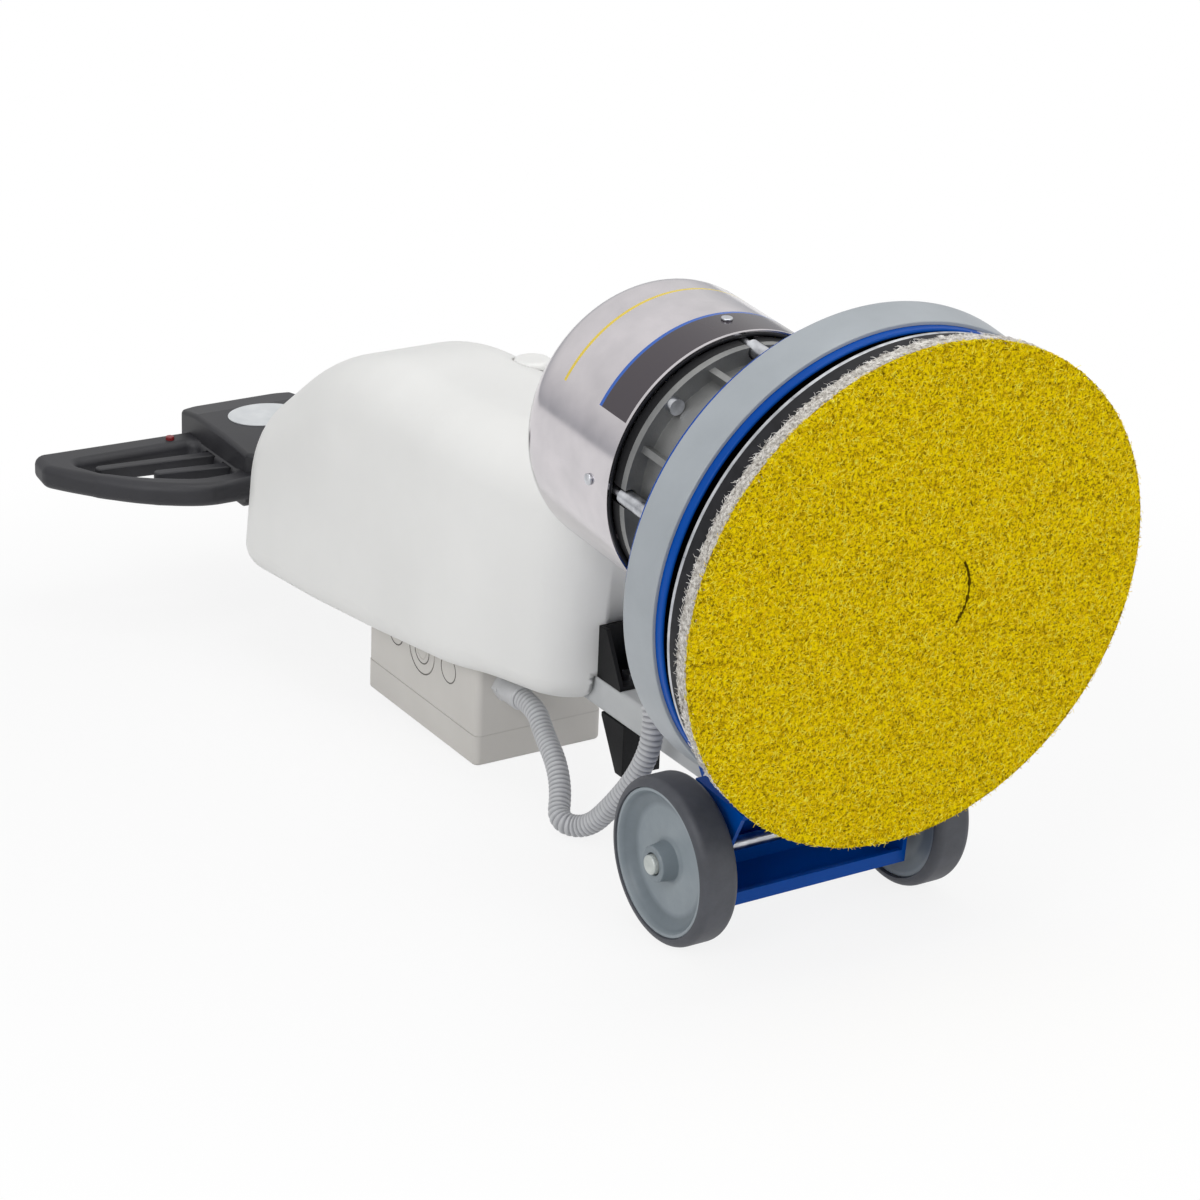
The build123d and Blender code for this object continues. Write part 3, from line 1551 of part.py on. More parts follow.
with BuildPart() as head_lower:
    add(head_whole.part)
    split(bisect_by=pole_plan(head_split), keep=Keep.BOTTOM)
head_lower.part.label = "head_lower"
export_step(head_lower.part, "parts/head_lower.step")

# Oval plate on top of the head
with BuildPart() as label_plate:
    with BuildSketch(pole_plan(head_top)):
        with Locations((0, label_place)):
            Ellipse(label_width / 2, label_length / 2)
    extrude(amount=label_depth)
label_plate.part.label = "label_plate"
export_step(label_plate.part, "parts/label_plate.step")

# Switch lever in each loop, pivoted in the block
with BuildPart() as switch_lever_left:
    with BuildSketch(pole_plan(lever_bottom)):
        with Locations((-lever_pivot_in, switch_place)):
            Circle(lever_eye)
        with Locations((-switch_reach + lever_tip, switch_place + switch_lean)):
            Circle(lever_tip)
        make_hull()
    extrude(amount=lever_top - lever_bottom)
    fillet(switch_lever_left.faces().sort_by(upright)[-1].edges(), lever_round)
    fillet(switch_lever_left.faces().sort_by(upright)[0].edges(), lever_round)
    with BuildSketch(pole_plan(pivot_low)):
        with Locations((-lever_pivot_in, switch_place)):
            Circle(lever_pin)
    extrude(amount=pivot_high - pivot_low)
switch_lever_left.part.label = "switch_lever_left"
export_step(switch_lever_left.part, "parts/switch_lever_left.step")

with BuildPart() as switch_lever_right:
    mirror(switch_lever_left.part, about=Plane.YZ)
switch_lever_right.part.label = "switch_lever_right"
export_step(switch_lever_right.part, "parts/switch_lever_right.step")

# Shorter lever at the front bar of each loop
with BuildPart() as valve_lever:
    with BuildSketch(pole_plan(lever_bottom)):
        with Locations((-lever_pivot_in, valve_place)):
            Circle(lever_eye)
        with Locations((-valve_reach + lever_tip, valve_place + valve_lean)):
            Circle(lever_tip)
        make_hull()
    extrude(amount=lever_top - lever_bottom)
    fillet(valve_lever.faces().sort_by(upright)[-1].edges(), lever_round)
    fillet(valve_lever.faces().sort_by(upright)[0].edges(), lever_round)
    with BuildSketch(pole_plan(pivot_low)):
        with Locations((-lever_pivot_in, valve_place)):
            Circle(lever_pin)
    extrude(amount=pivot_high - pivot_low)
valve_lever.part.label = "valve_lever"
export_step(valve_lever.part, "parts/valve_lever.step")

with BuildPart() as tilt_lever:
    mirror(valve_lever.part, about=Plane.YZ)
tilt_lever.part.label = "tilt_lever"
export_step(tilt_lever.part, "parts/tilt_lever.step")

# Red button on top of the rear bar
with BuildPart() as red_button:
    with BuildSketch(pole_plan(loop_top - button_depth)):
        with Locations((-button_x, button_place)):
            Circle(button_radius)
    extrude(amount=button_depth + button_rise)
    fillet(red_button.edges().sort_by(upright)[-1], button_radius / 4)
red_button.part.label = "red_button"
export_step(red_button.part, "parts/red_button.step")
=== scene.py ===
import bpy
import json
import math
import numpy as np
from mathutils import Matrix, Vector, noise


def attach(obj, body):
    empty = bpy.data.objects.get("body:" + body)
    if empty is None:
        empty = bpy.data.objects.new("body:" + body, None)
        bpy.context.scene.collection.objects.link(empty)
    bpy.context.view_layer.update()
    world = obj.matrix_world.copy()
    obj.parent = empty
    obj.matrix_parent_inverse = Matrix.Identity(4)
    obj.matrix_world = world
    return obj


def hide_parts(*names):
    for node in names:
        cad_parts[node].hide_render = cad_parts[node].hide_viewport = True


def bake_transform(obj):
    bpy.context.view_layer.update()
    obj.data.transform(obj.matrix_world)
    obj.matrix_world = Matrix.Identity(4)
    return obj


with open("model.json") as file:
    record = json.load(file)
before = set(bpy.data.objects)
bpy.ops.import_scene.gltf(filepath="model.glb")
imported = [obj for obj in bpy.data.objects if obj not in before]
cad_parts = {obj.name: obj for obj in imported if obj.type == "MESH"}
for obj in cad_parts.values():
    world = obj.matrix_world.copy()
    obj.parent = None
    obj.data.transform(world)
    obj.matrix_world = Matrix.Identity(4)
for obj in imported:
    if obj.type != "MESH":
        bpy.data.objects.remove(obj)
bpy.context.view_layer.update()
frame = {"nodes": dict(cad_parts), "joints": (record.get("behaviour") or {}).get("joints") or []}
nodes = frame["nodes"]

# Working face of the floor pad: springy non-woven nylon bound with yellow abrasive resin and cut
# to a round. A punched ring in its middle lets a centre plug be torn out.
joint_spots = {joint["name"]: Vector(joint["pos_m"]) for joint in frame["joints"] if joint.get("pos_m")}
pad_middle = joint_spots["disc_spin"]
base_tilt = math.radians(8)
motor_way = Vector((0, math.cos(base_tilt), math.sin(base_tilt)))
motor_up = Vector((0, -math.sin(base_tilt), math.cos(base_tilt)))
base_turn = Matrix(((-1, 0, 0), (0, motor_up.y, motor_way.y), (0, motor_up.z, motor_way.z))).to_4x4()
pad_place = Matrix.Translation(pad_middle) @ base_turn
pad_radius = 0.216
face_depth = 0.004
face_cells = 250
plug_radius = 0.046
plug_cut = 0.0012
plug_cut_depth = 0.0012
open_cut_depth = 0.0026
open_cut_half = 0.62
lumps_per_metre = 260
lump_height = 0.0007
lump_limit = 0.0008
rim_fray = 0.0008
rim_band = 0.004


def tint(code):
    channels = [int(code[i:i + 2], 16) / 255 for i in (1, 3, 5)]
    linear = [c / 12.92 if c <= 0.04045 else ((c + 0.055) / 1.055) ** 2.4 for c in channels]
    return (*linear, 1.0)


def put(tree, kind, sockets, stops=(), feeds=None, **settings):
    made = tree.nodes.new(kind)
    for name, value in settings.items():
        setattr(made, name, value)
    for name, value in sockets.items():
        if isinstance(value, bpy.types.NodeSocket):
            tree.links.new(value, made.inputs[name])
        else:
            made.inputs[name].default_value = value
    if stops:
        elements = made.color_ramp.elements
        while len(elements) < len(stops):
            elements.new(0.5)
        for element, (where, code) in zip(elements, stops):
            element.position = where
            element.color = tint(code)
    for name, socket in (feeds or {}).items():
        tree.links.new(made.outputs[name], socket)
    return made


def new_finish(name, **levels):
    finish = bpy.data.materials.new(name)
    finish.use_nodes = True
    tree = finish.node_tree
    for level, value in levels.items():
        tree.nodes["Principled BSDF"].inputs[level.replace("_", " ")].default_value = value
    place = put(tree, "ShaderNodeTexCoord", {}).outputs["Object"]
    return finish, tree, tree.nodes["Principled BSDF"].inputs, place


# Most finishes here are patches of tone, their size given in millimetres. The patches may also spread
# the roughness. The relief is the strength and depth of a bump, of a finer grain where there is one.
def mottled(name, patch_mm, detail, tones, uneven=0.5, rough=None, relief=None, grain_mm=None,
            grain_detail=2, **levels):
    finish, tree, surface, place = new_finish(name, **levels)
    patches = put(tree, "ShaderNodeTexNoise",
                  {"Vector": place, "Scale": 1000 / patch_mm, "Detail": detail, "Roughness": uneven})
    put(tree, "ShaderNodeValToRGB", {"Fac": patches.outputs["Fac"]}, stops=tones,
        feeds={"Color": surface["Base Color"]})
    if rough:
        put(tree, "ShaderNodeMapRange",
            {"Value": patches.outputs["Fac"], "To Min": rough[0], "To Max": rough[1]},
            feeds={"Result": surface["Roughness"]})
    height = patches
    if grain_mm:
        height = put(tree, "ShaderNodeTexNoise",
                     {"Vector": place, "Scale": 1000 / grain_mm, "Detail": grain_detail})
    if relief:
        put(tree, "ShaderNodeBump",
            {"Height": height.outputs["Fac"], "Strength": relief[0], "Distance": relief[1]},
            feeds={"Normal": surface["Normal"]})
    return finish


# What a mottled finish is made of, for the few that lay something else over their tone.
def opened(finish):
    tree = finish.node_tree
    found = {node.bl_idname: node for node in tree.nodes}
    place = found["ShaderNodeTexCoord"].outputs["Object"]
    tone = found["ShaderNodeValToRGB"].outputs["Color"]
    return tree, found["ShaderNodeBsdfPrincipled"].inputs, place, tone


def settle(piece, name, body, finish):
    piece.name = name
    piece.data.materials.clear()
    piece.data.materials.append(finish)
    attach(piece, body)


def alone(piece):
    bpy.ops.object.select_all(action="DESELECT")
    piece.select_set(True)
    bpy.context.view_layer.objects.active = piece


def felt_wave(spot):
    falloff = 0.8
    octave_step = 2.0
    octaves = 3
    return noise.fractal(spot, falloff, octave_step, octaves)


# Each strand is a three-sided rod that leaves the felt, arches to one side and comes down again.
def strands(starts, normals, reach, lift, girth, seed):
    draw = np.random.default_rng(seed)
    count = len(starts)
    along = np.cross(normals, draw.normal(size=(count, 3)))
    along /= np.linalg.norm(along, axis=1)[:, None]
    aside = np.cross(normals, along)
    length = reach * draw.uniform(0.5, 1.2, (count, 1))
    height = lift * draw.uniform(0.1, 1.0, (count, 1))
    curl = draw.uniform(-0.6, 0.6, (count, 1))
    middle = starts + along * length * 0.5 + aside * length * curl * 0.2 + normals * height
    far = starts + along * length * 0.9 + aside * length * curl * 0.9 + normals * height * 0.2
    rings = []
    for point, width in ((starts, 0.6), (middle, 1.0), (far, 0.6)):
        for corner in range(3):
            turn = 2 * math.pi * corner / 3
            rings.append(point + girth * width * (normals * math.cos(turn) + aside * math.sin(turn)))
    points = np.stack(rings, axis=1).reshape(-1, 3)
    first = 9 * np.arange(count)[:, None]
    faces = []
    for ring in (0, 3):
        for corner in range(3):
            after = (corner + 1) % 3
            faces.append(first + [ring + corner, ring + after, ring + 3 + after, ring + 3 + corner])
    quads = np.concatenate(faces).tolist()
    ends = np.concatenate([first + [2, 1, 0], first + [6, 7, 8]]).tolist()
    mesh = bpy.data.meshes.new("strands")
    mesh.from_pydata(points.tolist(), [], quads + ends)
    mesh.polygons.foreach_set("use_smooth", [True] * len(mesh.polygons))
    piece = bpy.data.objects.new("strands", mesh)
    bpy.context.scene.collection.objects.link(piece)
    return piece


# Resin-bonded nylon: dull, with painted shade dark in its pits and bright on its outer fibres, in clumps of
# 2.5 mm.
# The cut round the plug is tinted darker, as painted shade in the groove.
yellow_felt = mottled(
    "yellow_resin_nylon", patch_mm=2.5, detail=6, uneven=0.7, relief=(1.0, 0.003),
    tones=((0.37, "#6e5900"), (0.47, "#dab900"), (0.57, "#ffe400")), Roughness=0.9, Specular_IOR_Level=0.08,
)
tree, surface, place, felt = opened(yellow_felt)
local = put(tree, "ShaderNodeMapping",
            {"Vector": place, "Location": pad_middle, "Rotation": (base_tilt, 0, 0)}, vector_type="TEXTURE")
parts = put(tree, "ShaderNodeSeparateXYZ", {"Vector": local.outputs["Vector"]})
flat = put(tree, "ShaderNodeCombineXYZ", {"X": parts.outputs["X"], "Z": parts.outputs["Z"]})
across = put(tree, "ShaderNodeVectorMath", {0: flat.outputs[0]}, operation="LENGTH")
ring = put(tree, "ShaderNodeMath", {0: across.outputs["Value"], 1: plug_radius, 2: plug_cut},
           operation="COMPARE")
turn = put(tree, "ShaderNodeMath", {0: parts.outputs["Z"], 1: parts.outputs["X"]}, operation="ARCTAN2")
sector = put(tree, "ShaderNodeMath", {0: turn.outputs[0], 1: 0.0, 2: open_cut_half}, operation="COMPARE")
cut_shade = put(tree, "ShaderNodeMath", {0: ring.outputs[0], 1: sector.outputs[0]}, operation="MULTIPLY")
# Painted shade: the felt in the cut round the plug is tinted dark brown.
put(tree, "ShaderNodeMix", {0: cut_shade.outputs[0], 6: felt, 7: tint("#665200")}, data_type="RGBA",
    feeds={2: surface["Base Color"]})

# Loose nylon fibre: a soft shine, with some strands bare and pale and some coated dark.
yellow_strand = mottled(
    "yellow_nylon_fibre", patch_mm=4, detail=3,
    tones=((0.37, "#b29400"), (0.48, "#fed900"), (0.58, "#fff552")), Roughness=0.65, Specular_IOR_Level=0.12,
)

bpy.ops.object.select_all(action="DESELECT")
bpy.ops.mesh.primitive_grid_add(x_subdivisions=face_cells, y_subdivisions=face_cells, size=2 * pad_radius)
pad_face = bpy.context.object
bpy.ops.object.mode_set(mode="EDIT")
bpy.ops.mesh.select_all(action="DESELECT")
bpy.ops.object.mode_set(mode="OBJECT")
for vertex in pad_face.data.vertices:
    vertex.select = vertex.co.xy.length > pad_radius - rim_fray / 2
bpy.ops.object.mode_set(mode="EDIT")
bpy.ops.mesh.delete(type="VERT")
bpy.ops.mesh.select_all(action="SELECT")
bpy.ops.mesh.region_to_loop()
bpy.ops.mesh.extrude_region_move(TRANSFORM_OT_translate={"value": (0, 0, face_depth)})
bpy.ops.mesh.edge_face_add()
bpy.ops.mesh.select_all(action="SELECT")
bpy.ops.mesh.normals_make_consistent(inside=False)
bpy.ops.object.mode_set(mode="OBJECT")
for vertex in pad_face.data.vertices:
    across = vertex.co.xy.length
    wave = felt_wave(Vector((vertex.co.x, vertex.co.y, 0)) * lumps_per_metre)
    if vertex.co.z < face_depth / 2:
        vertex.co.z = max(-lump_limit, lump_height * wave)
        turn = math.pi - abs(math.atan2(vertex.co.y, vertex.co.x))
        if abs(across - plug_radius) < pad_radius / face_cells:
            vertex.co.x *= plug_radius / across
            vertex.co.y *= plug_radius / across
            vertex.co.z = open_cut_depth if turn < open_cut_half else plug_cut_depth
    if across > pad_radius - rim_band:
        ragged = pad_radius - rim_fray + rim_fray * wave
        vertex.co.x *= ragged / across
        vertex.co.y *= ragged / across
pad_face.data.transform(pad_place)
alone(pad_face)
bpy.ops.object.shade_smooth()
settle(pad_face, "pad_face_felt", "disc", yellow_felt)
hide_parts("pad_face")

face_count = 13500
face_margin = 0.003
cut_clear = 0.009
cut_step = 0.02
draw = np.random.default_rng(11)
spot_radius = (pad_radius - face_margin) * np.sqrt(draw.uniform(0, 1, face_count))
spot_turn = draw.uniform(-math.pi, math.pi, face_count)
beside_cut = (np.abs(spot_radius - plug_radius) < cut_clear) & (np.pi - np.abs(spot_turn) < open_cut_half)
spot_radius = np.where(beside_cut, spot_radius + cut_step, spot_radius)
level = np.zeros(face_count)
spots = np.stack([spot_radius * np.cos(spot_turn), spot_radius * np.sin(spot_turn), level], axis=1)
outward = np.tile([0.0, 0.0, -1.0], (face_count, 1))
face_fibres = strands(spots, outward, reach=0.0072, lift=0.0016, girth=0.00032, seed=3)
face_fibres.data.transform(pad_place)
settle(face_fibres, "pad_face_fibres", "disc", yellow_strand)

# Body of the pad behind the working face: the same fibre left white, with a frayed cut edge. It is
# bonded to the face and gripped by the holder.
backing_radius = 0.215
backing_bore = 0.02
backing_round = 0.001
backing_front = face_depth
backing_rear = 0.018
edge_step = 0.0014
edge_fray = 0.0045
edge_lumps_per_metre = 300


def turned(rings, segments, place):
    bpy.ops.object.select_all(action="DESELECT")
    bpy.ops.mesh.primitive_circle_add(vertices=segments, radius=rings[0][0])
    piece = bpy.context.object
    bpy.ops.object.mode_set(mode="EDIT")
    bpy.ops.mesh.select_all(action="SELECT")
    bpy.ops.transform.translate(value=(0, 0, rings[0][1]))
    for (radius, depth), (next_radius, next_depth) in zip(rings, rings[1:]):
        bpy.ops.mesh.extrude_region_move(TRANSFORM_OT_translate={"value": (0, 0, next_depth - depth)})
        share = next_radius / radius
        bpy.ops.transform.resize(value=(share, share, 1), center_override=(0, 0, next_depth))
    bpy.ops.mesh.select_all(action="SELECT")
    bpy.ops.mesh.remove_doubles(threshold=0.00005)
    bpy.ops.mesh.normals_make_consistent(inside=False)
    bpy.ops.object.mode_set(mode="OBJECT")
    piece.data.transform(place)
    if place.determinant() < 0:
        piece.data.flip_normals()
    bpy.ops.object.shade_smooth_by_angle(angle=math.radians(32))
    return piece


def arc(middle_radius, middle_depth, size, start, end, steps):
    turns = [math.radians(start + (end - start) * k / steps) for k in range(steps + 1)]
    return [(middle_radius + size * math.cos(t), middle_depth + size * math.sin(t)) for t in turns]


# White nylon felt: matt and open, with painted shade grey between the fibres, in clumps of 2.6 mm.
white_felt = mottled(
    "white_nylon_felt", patch_mm=2.6, detail=6, uneven=0.7, relief=(1.0, 0.002),
    tones=((0.36, "#77716a"), (0.48, "#bdb8b1"), (0.62, "#f0ede8")), Roughness=0.9, Specular_IOR_Level=0.2,
)

edge = [(backing_bore, backing_front), (backing_radius - backing_round, backing_front)]
edge += [(backing_radius, backing_front + edge_step * k) for k in range(1, 10)]
edge += [(backing_radius - backing_round, backing_rear), (backing_bore, backing_rear)]
edge += [(backing_bore, backing_front)]
backing = turned(edge, segments=360, place=Matrix.Identity(4))
for vertex in backing.data.vertices:
    across = vertex.co.xy.length
    if across > backing_radius - 3 * backing_round:
        wave = felt_wave(vertex.co * edge_lumps_per_metre)
        vertex.co.x *= 1 + edge_fray * (wave - 0.5)
        vertex.co.y *= 1 + edge_fray * (wave - 0.5)
backing.data.transform(pad_place)
settle(backing, "pad_backing_felt", "disc", white_felt)
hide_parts("pad_backing")

# Loose white fibre: a faint shine on a warm white strand.
white_strand = mottled("white_nylon_fibre", patch_mm=6, detail=3,
                       tones=((0.36, "#b7b2ab"), (0.62, "#f8f5f1")), Roughness=0.6)


def rim_spots(count, radius, front, rear, seed):
    draw = np.random.default_rng(seed)
    turn = draw.uniform(-math.pi, math.pi, count)
    depth = draw.uniform(front, rear, count)
    ways = np.stack([np.cos(turn), np.sin(turn), np.zeros(count)], axis=1)
    return ways * radius + depth[:, None] * [0, 0, 1], ways


rim_girth = 0.00028
edge_sink = 0.0012
edge_start = 0.0004
spots, ways = rim_spots(8500, backing_radius - backing_round, backing_front, backing_rear, seed=5)
rim_fibres = strands(spots, ways, reach=0.006, lift=0.0009, girth=rim_girth, seed=6)
rim_fibres.data.transform(pad_place)
settle(rim_fibres, "pad_backing_fibres", "disc", white_strand)
spots, ways = rim_spots(1800, pad_radius - edge_sink, edge_start, face_depth, seed=8)
edge_fibres = strands(spots, ways, reach=0.0045, lift=0.0012, girth=rim_girth, seed=9)
edge_fibres.data.transform(pad_place)
settle(edge_fibres, "pad_face_edge_fibres", "disc", yellow_strand)

# Pad holder: a moulded black nylon block with a chamfered edge, screwed to the drive disc. It grips
# the pad's fibre.
holder_radius = 0.206
holder_bore = 0.03
holder_rear = 0.042
holder_chamfer = 0.001

# Moulded nylon: near black and satin, with grey pad dust in spots of 8 mm.
holder_nylon = mottled(
    "black_holder_nylon", patch_mm=8, detail=5, tones=((0.3, "#121215"), (0.7, "#1f1f23")),
    Roughness=0.55, Specular_IOR_Level=0.2,
)

holder = turned(
    [(holder_bore, backing_rear), (holder_radius - holder_chamfer, backing_rear),
     (holder_radius, backing_rear + holder_chamfer), (holder_radius, holder_rear - holder_chamfer),
     (holder_radius - holder_chamfer, holder_rear), (holder_bore, holder_rear), (holder_bore, backing_rear)],
    segments=240, place=pad_place,
)
settle(holder, "pad_holder_block", "disc", holder_nylon)
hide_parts("pad_holder")

# Steel drive disc behind the holder, its cut edge showing as a bright line. Six screws join hub, disc
# and holder, and a centre bolt clamps the disc to the output shaft.
disc_bore = 0.006
disc_rear = 0.045
disc_break = 0.0008
disc_slope = 0.0007

# Zinc plate: a bright grey metal, clouded where it was handled, in smears of 11 mm.
zinc_steel = mottled("zinc_plated_steel", patch_mm=11, detail=5, rough=(0.2, 0.42),
                     tones=((0.3, "#a2a4a9"), (0.7, "#d6d8dc")), Metallic=1.0)

disc = turned(
    [(disc_bore, holder_rear), (holder_radius - disc_break, holder_rear),
     (holder_radius, holder_rear + disc_slope), (holder_radius, disc_rear - disc_slope),
     (holder_radius - disc_break, disc_rear), (disc_bore, disc_rear), (disc_bore, holder_rear)],
    segments=240, place=pad_place,
)
settle(disc, "drive_disc_plate", "disc", zinc_steel)
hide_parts("drive_disc")


def coat(finish, *names):
    for name in names:
        nodes[name].data.materials.clear()
        nodes[name].data.materials.append(finish)


coat(zinc_steel, "drive_screws", "centre_bolt", "cover_studs", "housing_bolts", "bracket_bolts", "axle")

# Deck: a deep-drawn steel pan bolted to the gear housing, powder coated in gloss blue, with a rolled front
# edge and a low rim round its back, and its inside darkened near black as painted shade.
deck_radius = 0.204
deck_wall = 0.0035
deck_inner = deck_radius - deck_wall
deck_front = 0.0575
deck_top = 0.106
deck_ceiling = deck_top - deck_wall
deck_bore = 0.062
deck_round = 0.0025
rim_start = 0.1
rim_middle = 0.1092
rim_round = 0.0016
rim_inner = 0.2
rim_foot = 0.197
rim_rise = 0.0008
shade_radius = 0.2015
shade_depth = 0.104

# Powder coat: deep glossy blue with a faint orange peel of 2 mm, and slow shifts of tone.
blue_coat = mottled(
    "blue_powder_coat", patch_mm=110, detail=4, tones=((0.3, "#003f92"), (0.7, "#004ca6")),
    grain_mm=2, relief=(0.12, 0.0006), Roughness=0.26, Specular_IOR_Level=0.12,
)
tree, surface, _, blue = opened(blue_coat)
# Painted shade: the faces inside the pan are tinted near black.
inner_shade = put(tree, "ShaderNodeAttribute", {}, attribute_name="inside_shade")
put(tree, "ShaderNodeMix", {0: inner_shade.outputs["Fac"], 6: blue, 7: tint("#08090d")}, data_type="RGBA",
    feeds={2: surface["Base Color"]})

deck = turned(
    [(deck_inner, deck_front), *arc(deck_radius - deck_wall / 2, deck_front, deck_wall / 2, 180, 360, 8),
     (deck_radius, rim_start), *arc(deck_radius - rim_round, rim_middle, rim_round, 0, 180, 8),
     (rim_inner, deck_top + rim_rise), (rim_foot, deck_top), (deck_bore, deck_top), (deck_bore, deck_ceiling),
     *arc(deck_inner - deck_round, deck_ceiling - deck_round, deck_round, 90, 0, 5),
     (deck_inner, deck_front)],
    segments=240, place=pad_place,
)
back_to_flat = pad_place.inverted()
inside = []
for face in deck.data.polygons:
    spot = back_to_flat @ face.center
    inside.append(float(spot.xy.length < shade_radius and spot.z < shade_depth))
deck.data.attributes.new("inside_shade", "FLOAT", "FACE").data.foreach_set("value", inside)
settle(deck, "deck_pan", "chassis", blue_coat)
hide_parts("deck")

# Skirt: a moulded grey rubber buffer pulled over the deck, a little wider to the rear and cut away
# where the wheel bracket comes through.
skirt_bore = 0.2042
skirt_front = 0.064
skirt_rear = 0.1024
skirt_narrow = 0.2072
skirt_wide = 0.2096
skirt_bend = (0.2078, 0.0735)
front_round = 0.001
rear_round = 0.0012
notch_size = (0.19, 0.204, 0.05)
notch_middle = (0, -0.204, 0.105)

# Moulded rubber: mid grey with a soft sheen and a pale bloom in patches of 90 mm. Its fine grain is
# drawn at 1.4 mm, coarser than the real one, so that it shows.
skirt_rubber = mottled(
    "grey_buffer_rubber", patch_mm=90, detail=6, uneven=0.6, tones=((0.3, "#959ba0"), (0.7, "#a2a8ad")),
    grain_mm=1.4, relief=(0.1, 0.0005), Roughness=0.38, Specular_IOR_Level=0.5,
)

skirt = turned(
    [(skirt_bore, skirt_front),
     *arc(skirt_narrow - front_round, skirt_front + front_round, front_round, -90, -5, 5),
     skirt_bend, (skirt_wide, skirt_rear - 2 * rear_round),
     *arc(skirt_wide - rear_round, skirt_rear - rear_round, rear_round, 0, 90, 5),
     (skirt_bore, skirt_rear), (skirt_bore, skirt_front)],
    segments=300, place=Matrix.Identity(4),
)


def carve(piece, tool):
    cut = piece.modifiers.new("cut", "BOOLEAN")
    cut.object = tool
    cut.solver = "EXACT"
    alone(piece)
    bpy.ops.object.modifier_apply(modifier="cut")
    bpy.data.objects.remove(tool)


bpy.ops.object.select_all(action="DESELECT")
bpy.ops.mesh.primitive_cube_add(size=1, scale=notch_size, location=notch_middle)
carve(skirt, bpy.context.object)
skirt.data.transform(pad_place)
settle(skirt, "skirt_buffer", "chassis", skirt_rubber)
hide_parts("skirt")

# Gear housing and finned motor frame: sand-cast aluminium, shot-blasted, seen between the skirt and the motor
# cover. The end shield between them is coated black as painted shade, for the dark gap inside the cover's
# rim.

# Cast aluminium: dull grey metal in uneven patches of 45 mm. Its blasted grit is drawn at 1.25 mm,
# coarser than the real one, so that it shows.
cast_metal = mottled(
    "cast_aluminium", patch_mm=45, detail=4, tones=((0.3, "#7b7c7c"), (0.7, "#9c9c9a")),
    grain_mm=1.25, grain_detail=4, relief=(0.35, 0.0008), Metallic=0.85, Roughness=0.45,
)


def even_shade(piece):
    alone(piece)
    bpy.ops.object.shade_smooth_by_angle(angle=math.radians(35))
    flats = piece.modifiers.new("flats", "WEIGHTED_NORMAL")
    flats.keep_sharp = True
    bpy.ops.object.modifier_apply(modifier="flats")


def dressed(node, name, body, finish, edge):
    bpy.ops.object.select_all(action="DESELECT")
    piece = bpy.data.objects.new(name, nodes[node].data.copy())
    bpy.context.scene.collection.objects.link(piece)
    alone(piece)
    bpy.ops.object.mode_set(mode="EDIT")
    bpy.ops.mesh.select_all(action="SELECT")
    bpy.ops.mesh.remove_doubles(threshold=0.00001)
    bpy.ops.mesh.dissolve_limited(angle_limit=math.radians(0.5))
    bpy.ops.object.mode_set(mode="OBJECT")
    if edge:
        bevel = piece.modifiers.new("edge", "BEVEL")
        bevel.width = edge
        bevel.segments = 2
        bevel.limit_method = "ANGLE"
        bevel.angle_limit = math.radians(40)
        bpy.ops.object.modifier_apply(modifier="edge")
    even_shade(piece)
    settle(piece, name, body, finish)
    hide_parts(node)
    return piece


dressed("gear_housing", "gear_housing_casting", "chassis", cast_metal, edge=0.0008)
coat(cast_metal, "motor_frame", "drive_hub")

# Powder coat: a flat black with an orange peel of 2 mm.
black_coat = mottled(
    "black_powder_coat", patch_mm=2, detail=2, tones=((0.3, "#0d0d0f"), (0.7, "#161618")),
    relief=(0.2, 0.0005), Roughness=0.5, Specular_IOR_Level=0.2,
)
# Painted shade: the end shield is coated black to stand for the shadowed gap behind the cover's rim.
coat(black_coat, "motor_adapter")

# Gears, rotor, bearings, windings and fan: ground steel, lacquered copper wire and a moulded fan,
# closed in behind the castings.

# Ground steel: grey metal with short grinding marks of 3.3 mm.
ground_steel = mottled("ground_gear_steel", patch_mm=3.3, detail=3,
                       tones=((0.3, "#6d6f73"), (0.7, "#909398")), Metallic=1.0, Roughness=0.35)
coat(ground_steel, "carrier", "planet_pins", "planet_gear_1", "planet_gear_2", "planet_gear_3", "spindle")
coat(ground_steel, "rotor_core", "ring_gear", "output_bearings", "spindle_bearings")

# Moulded polypropylene: charcoal and satin, with a leather grain of 1.1 mm and rubbed patches.
black_moulding = mottled(
    "black_polypropylene", patch_mm=70, detail=4, tones=((0.3, "#1d1d21"), (0.7, "#2a2a2f")),
    rough=(0.42, 0.6), grain_mm=1.1, grain_detail=3, relief=(0.15, 0.0006),
)
coat(black_moulding, "fan")

# Lacquered copper: brown-red and half glossy. Its wires are drawn as marks of 3.8 mm, coarser than
# the real ones.
winding = mottled("lacquered_copper", patch_mm=3.8, detail=3,
                  tones=((0.3, "#6a3d22"), (0.7, "#9c6236")), Roughness=0.4)
coat(winding, "stator")

# Motor cover: spun stainless steel, mirror polished, with a rounded rear edge, ten cooling slots
# in its rear face and a plain dark band and two lines printed over its top.
cover_front = 0.267
cover_rear = 0.418
cover_radius = 0.1225
cover_round = 0.034
cover_wall = 0.0015
cover_belt = 0.03
cover_inner = cover_radius - cover_wall
cover_corner = cover_rear - cover_round
closed_end = 0.00002
slot_count = 10
slot_start = 0.048
slot_length = 0.028
slot_half = 0.003
slot_ring = 0.075
print_middle = 0.12
print_half = 1.2
print_bands = ((0.0215, 0.0185, "#3b343a"), (0.0418, 0.0018, "#1f57b0"), (0.098, 0.0016, "#d9bf3f"))

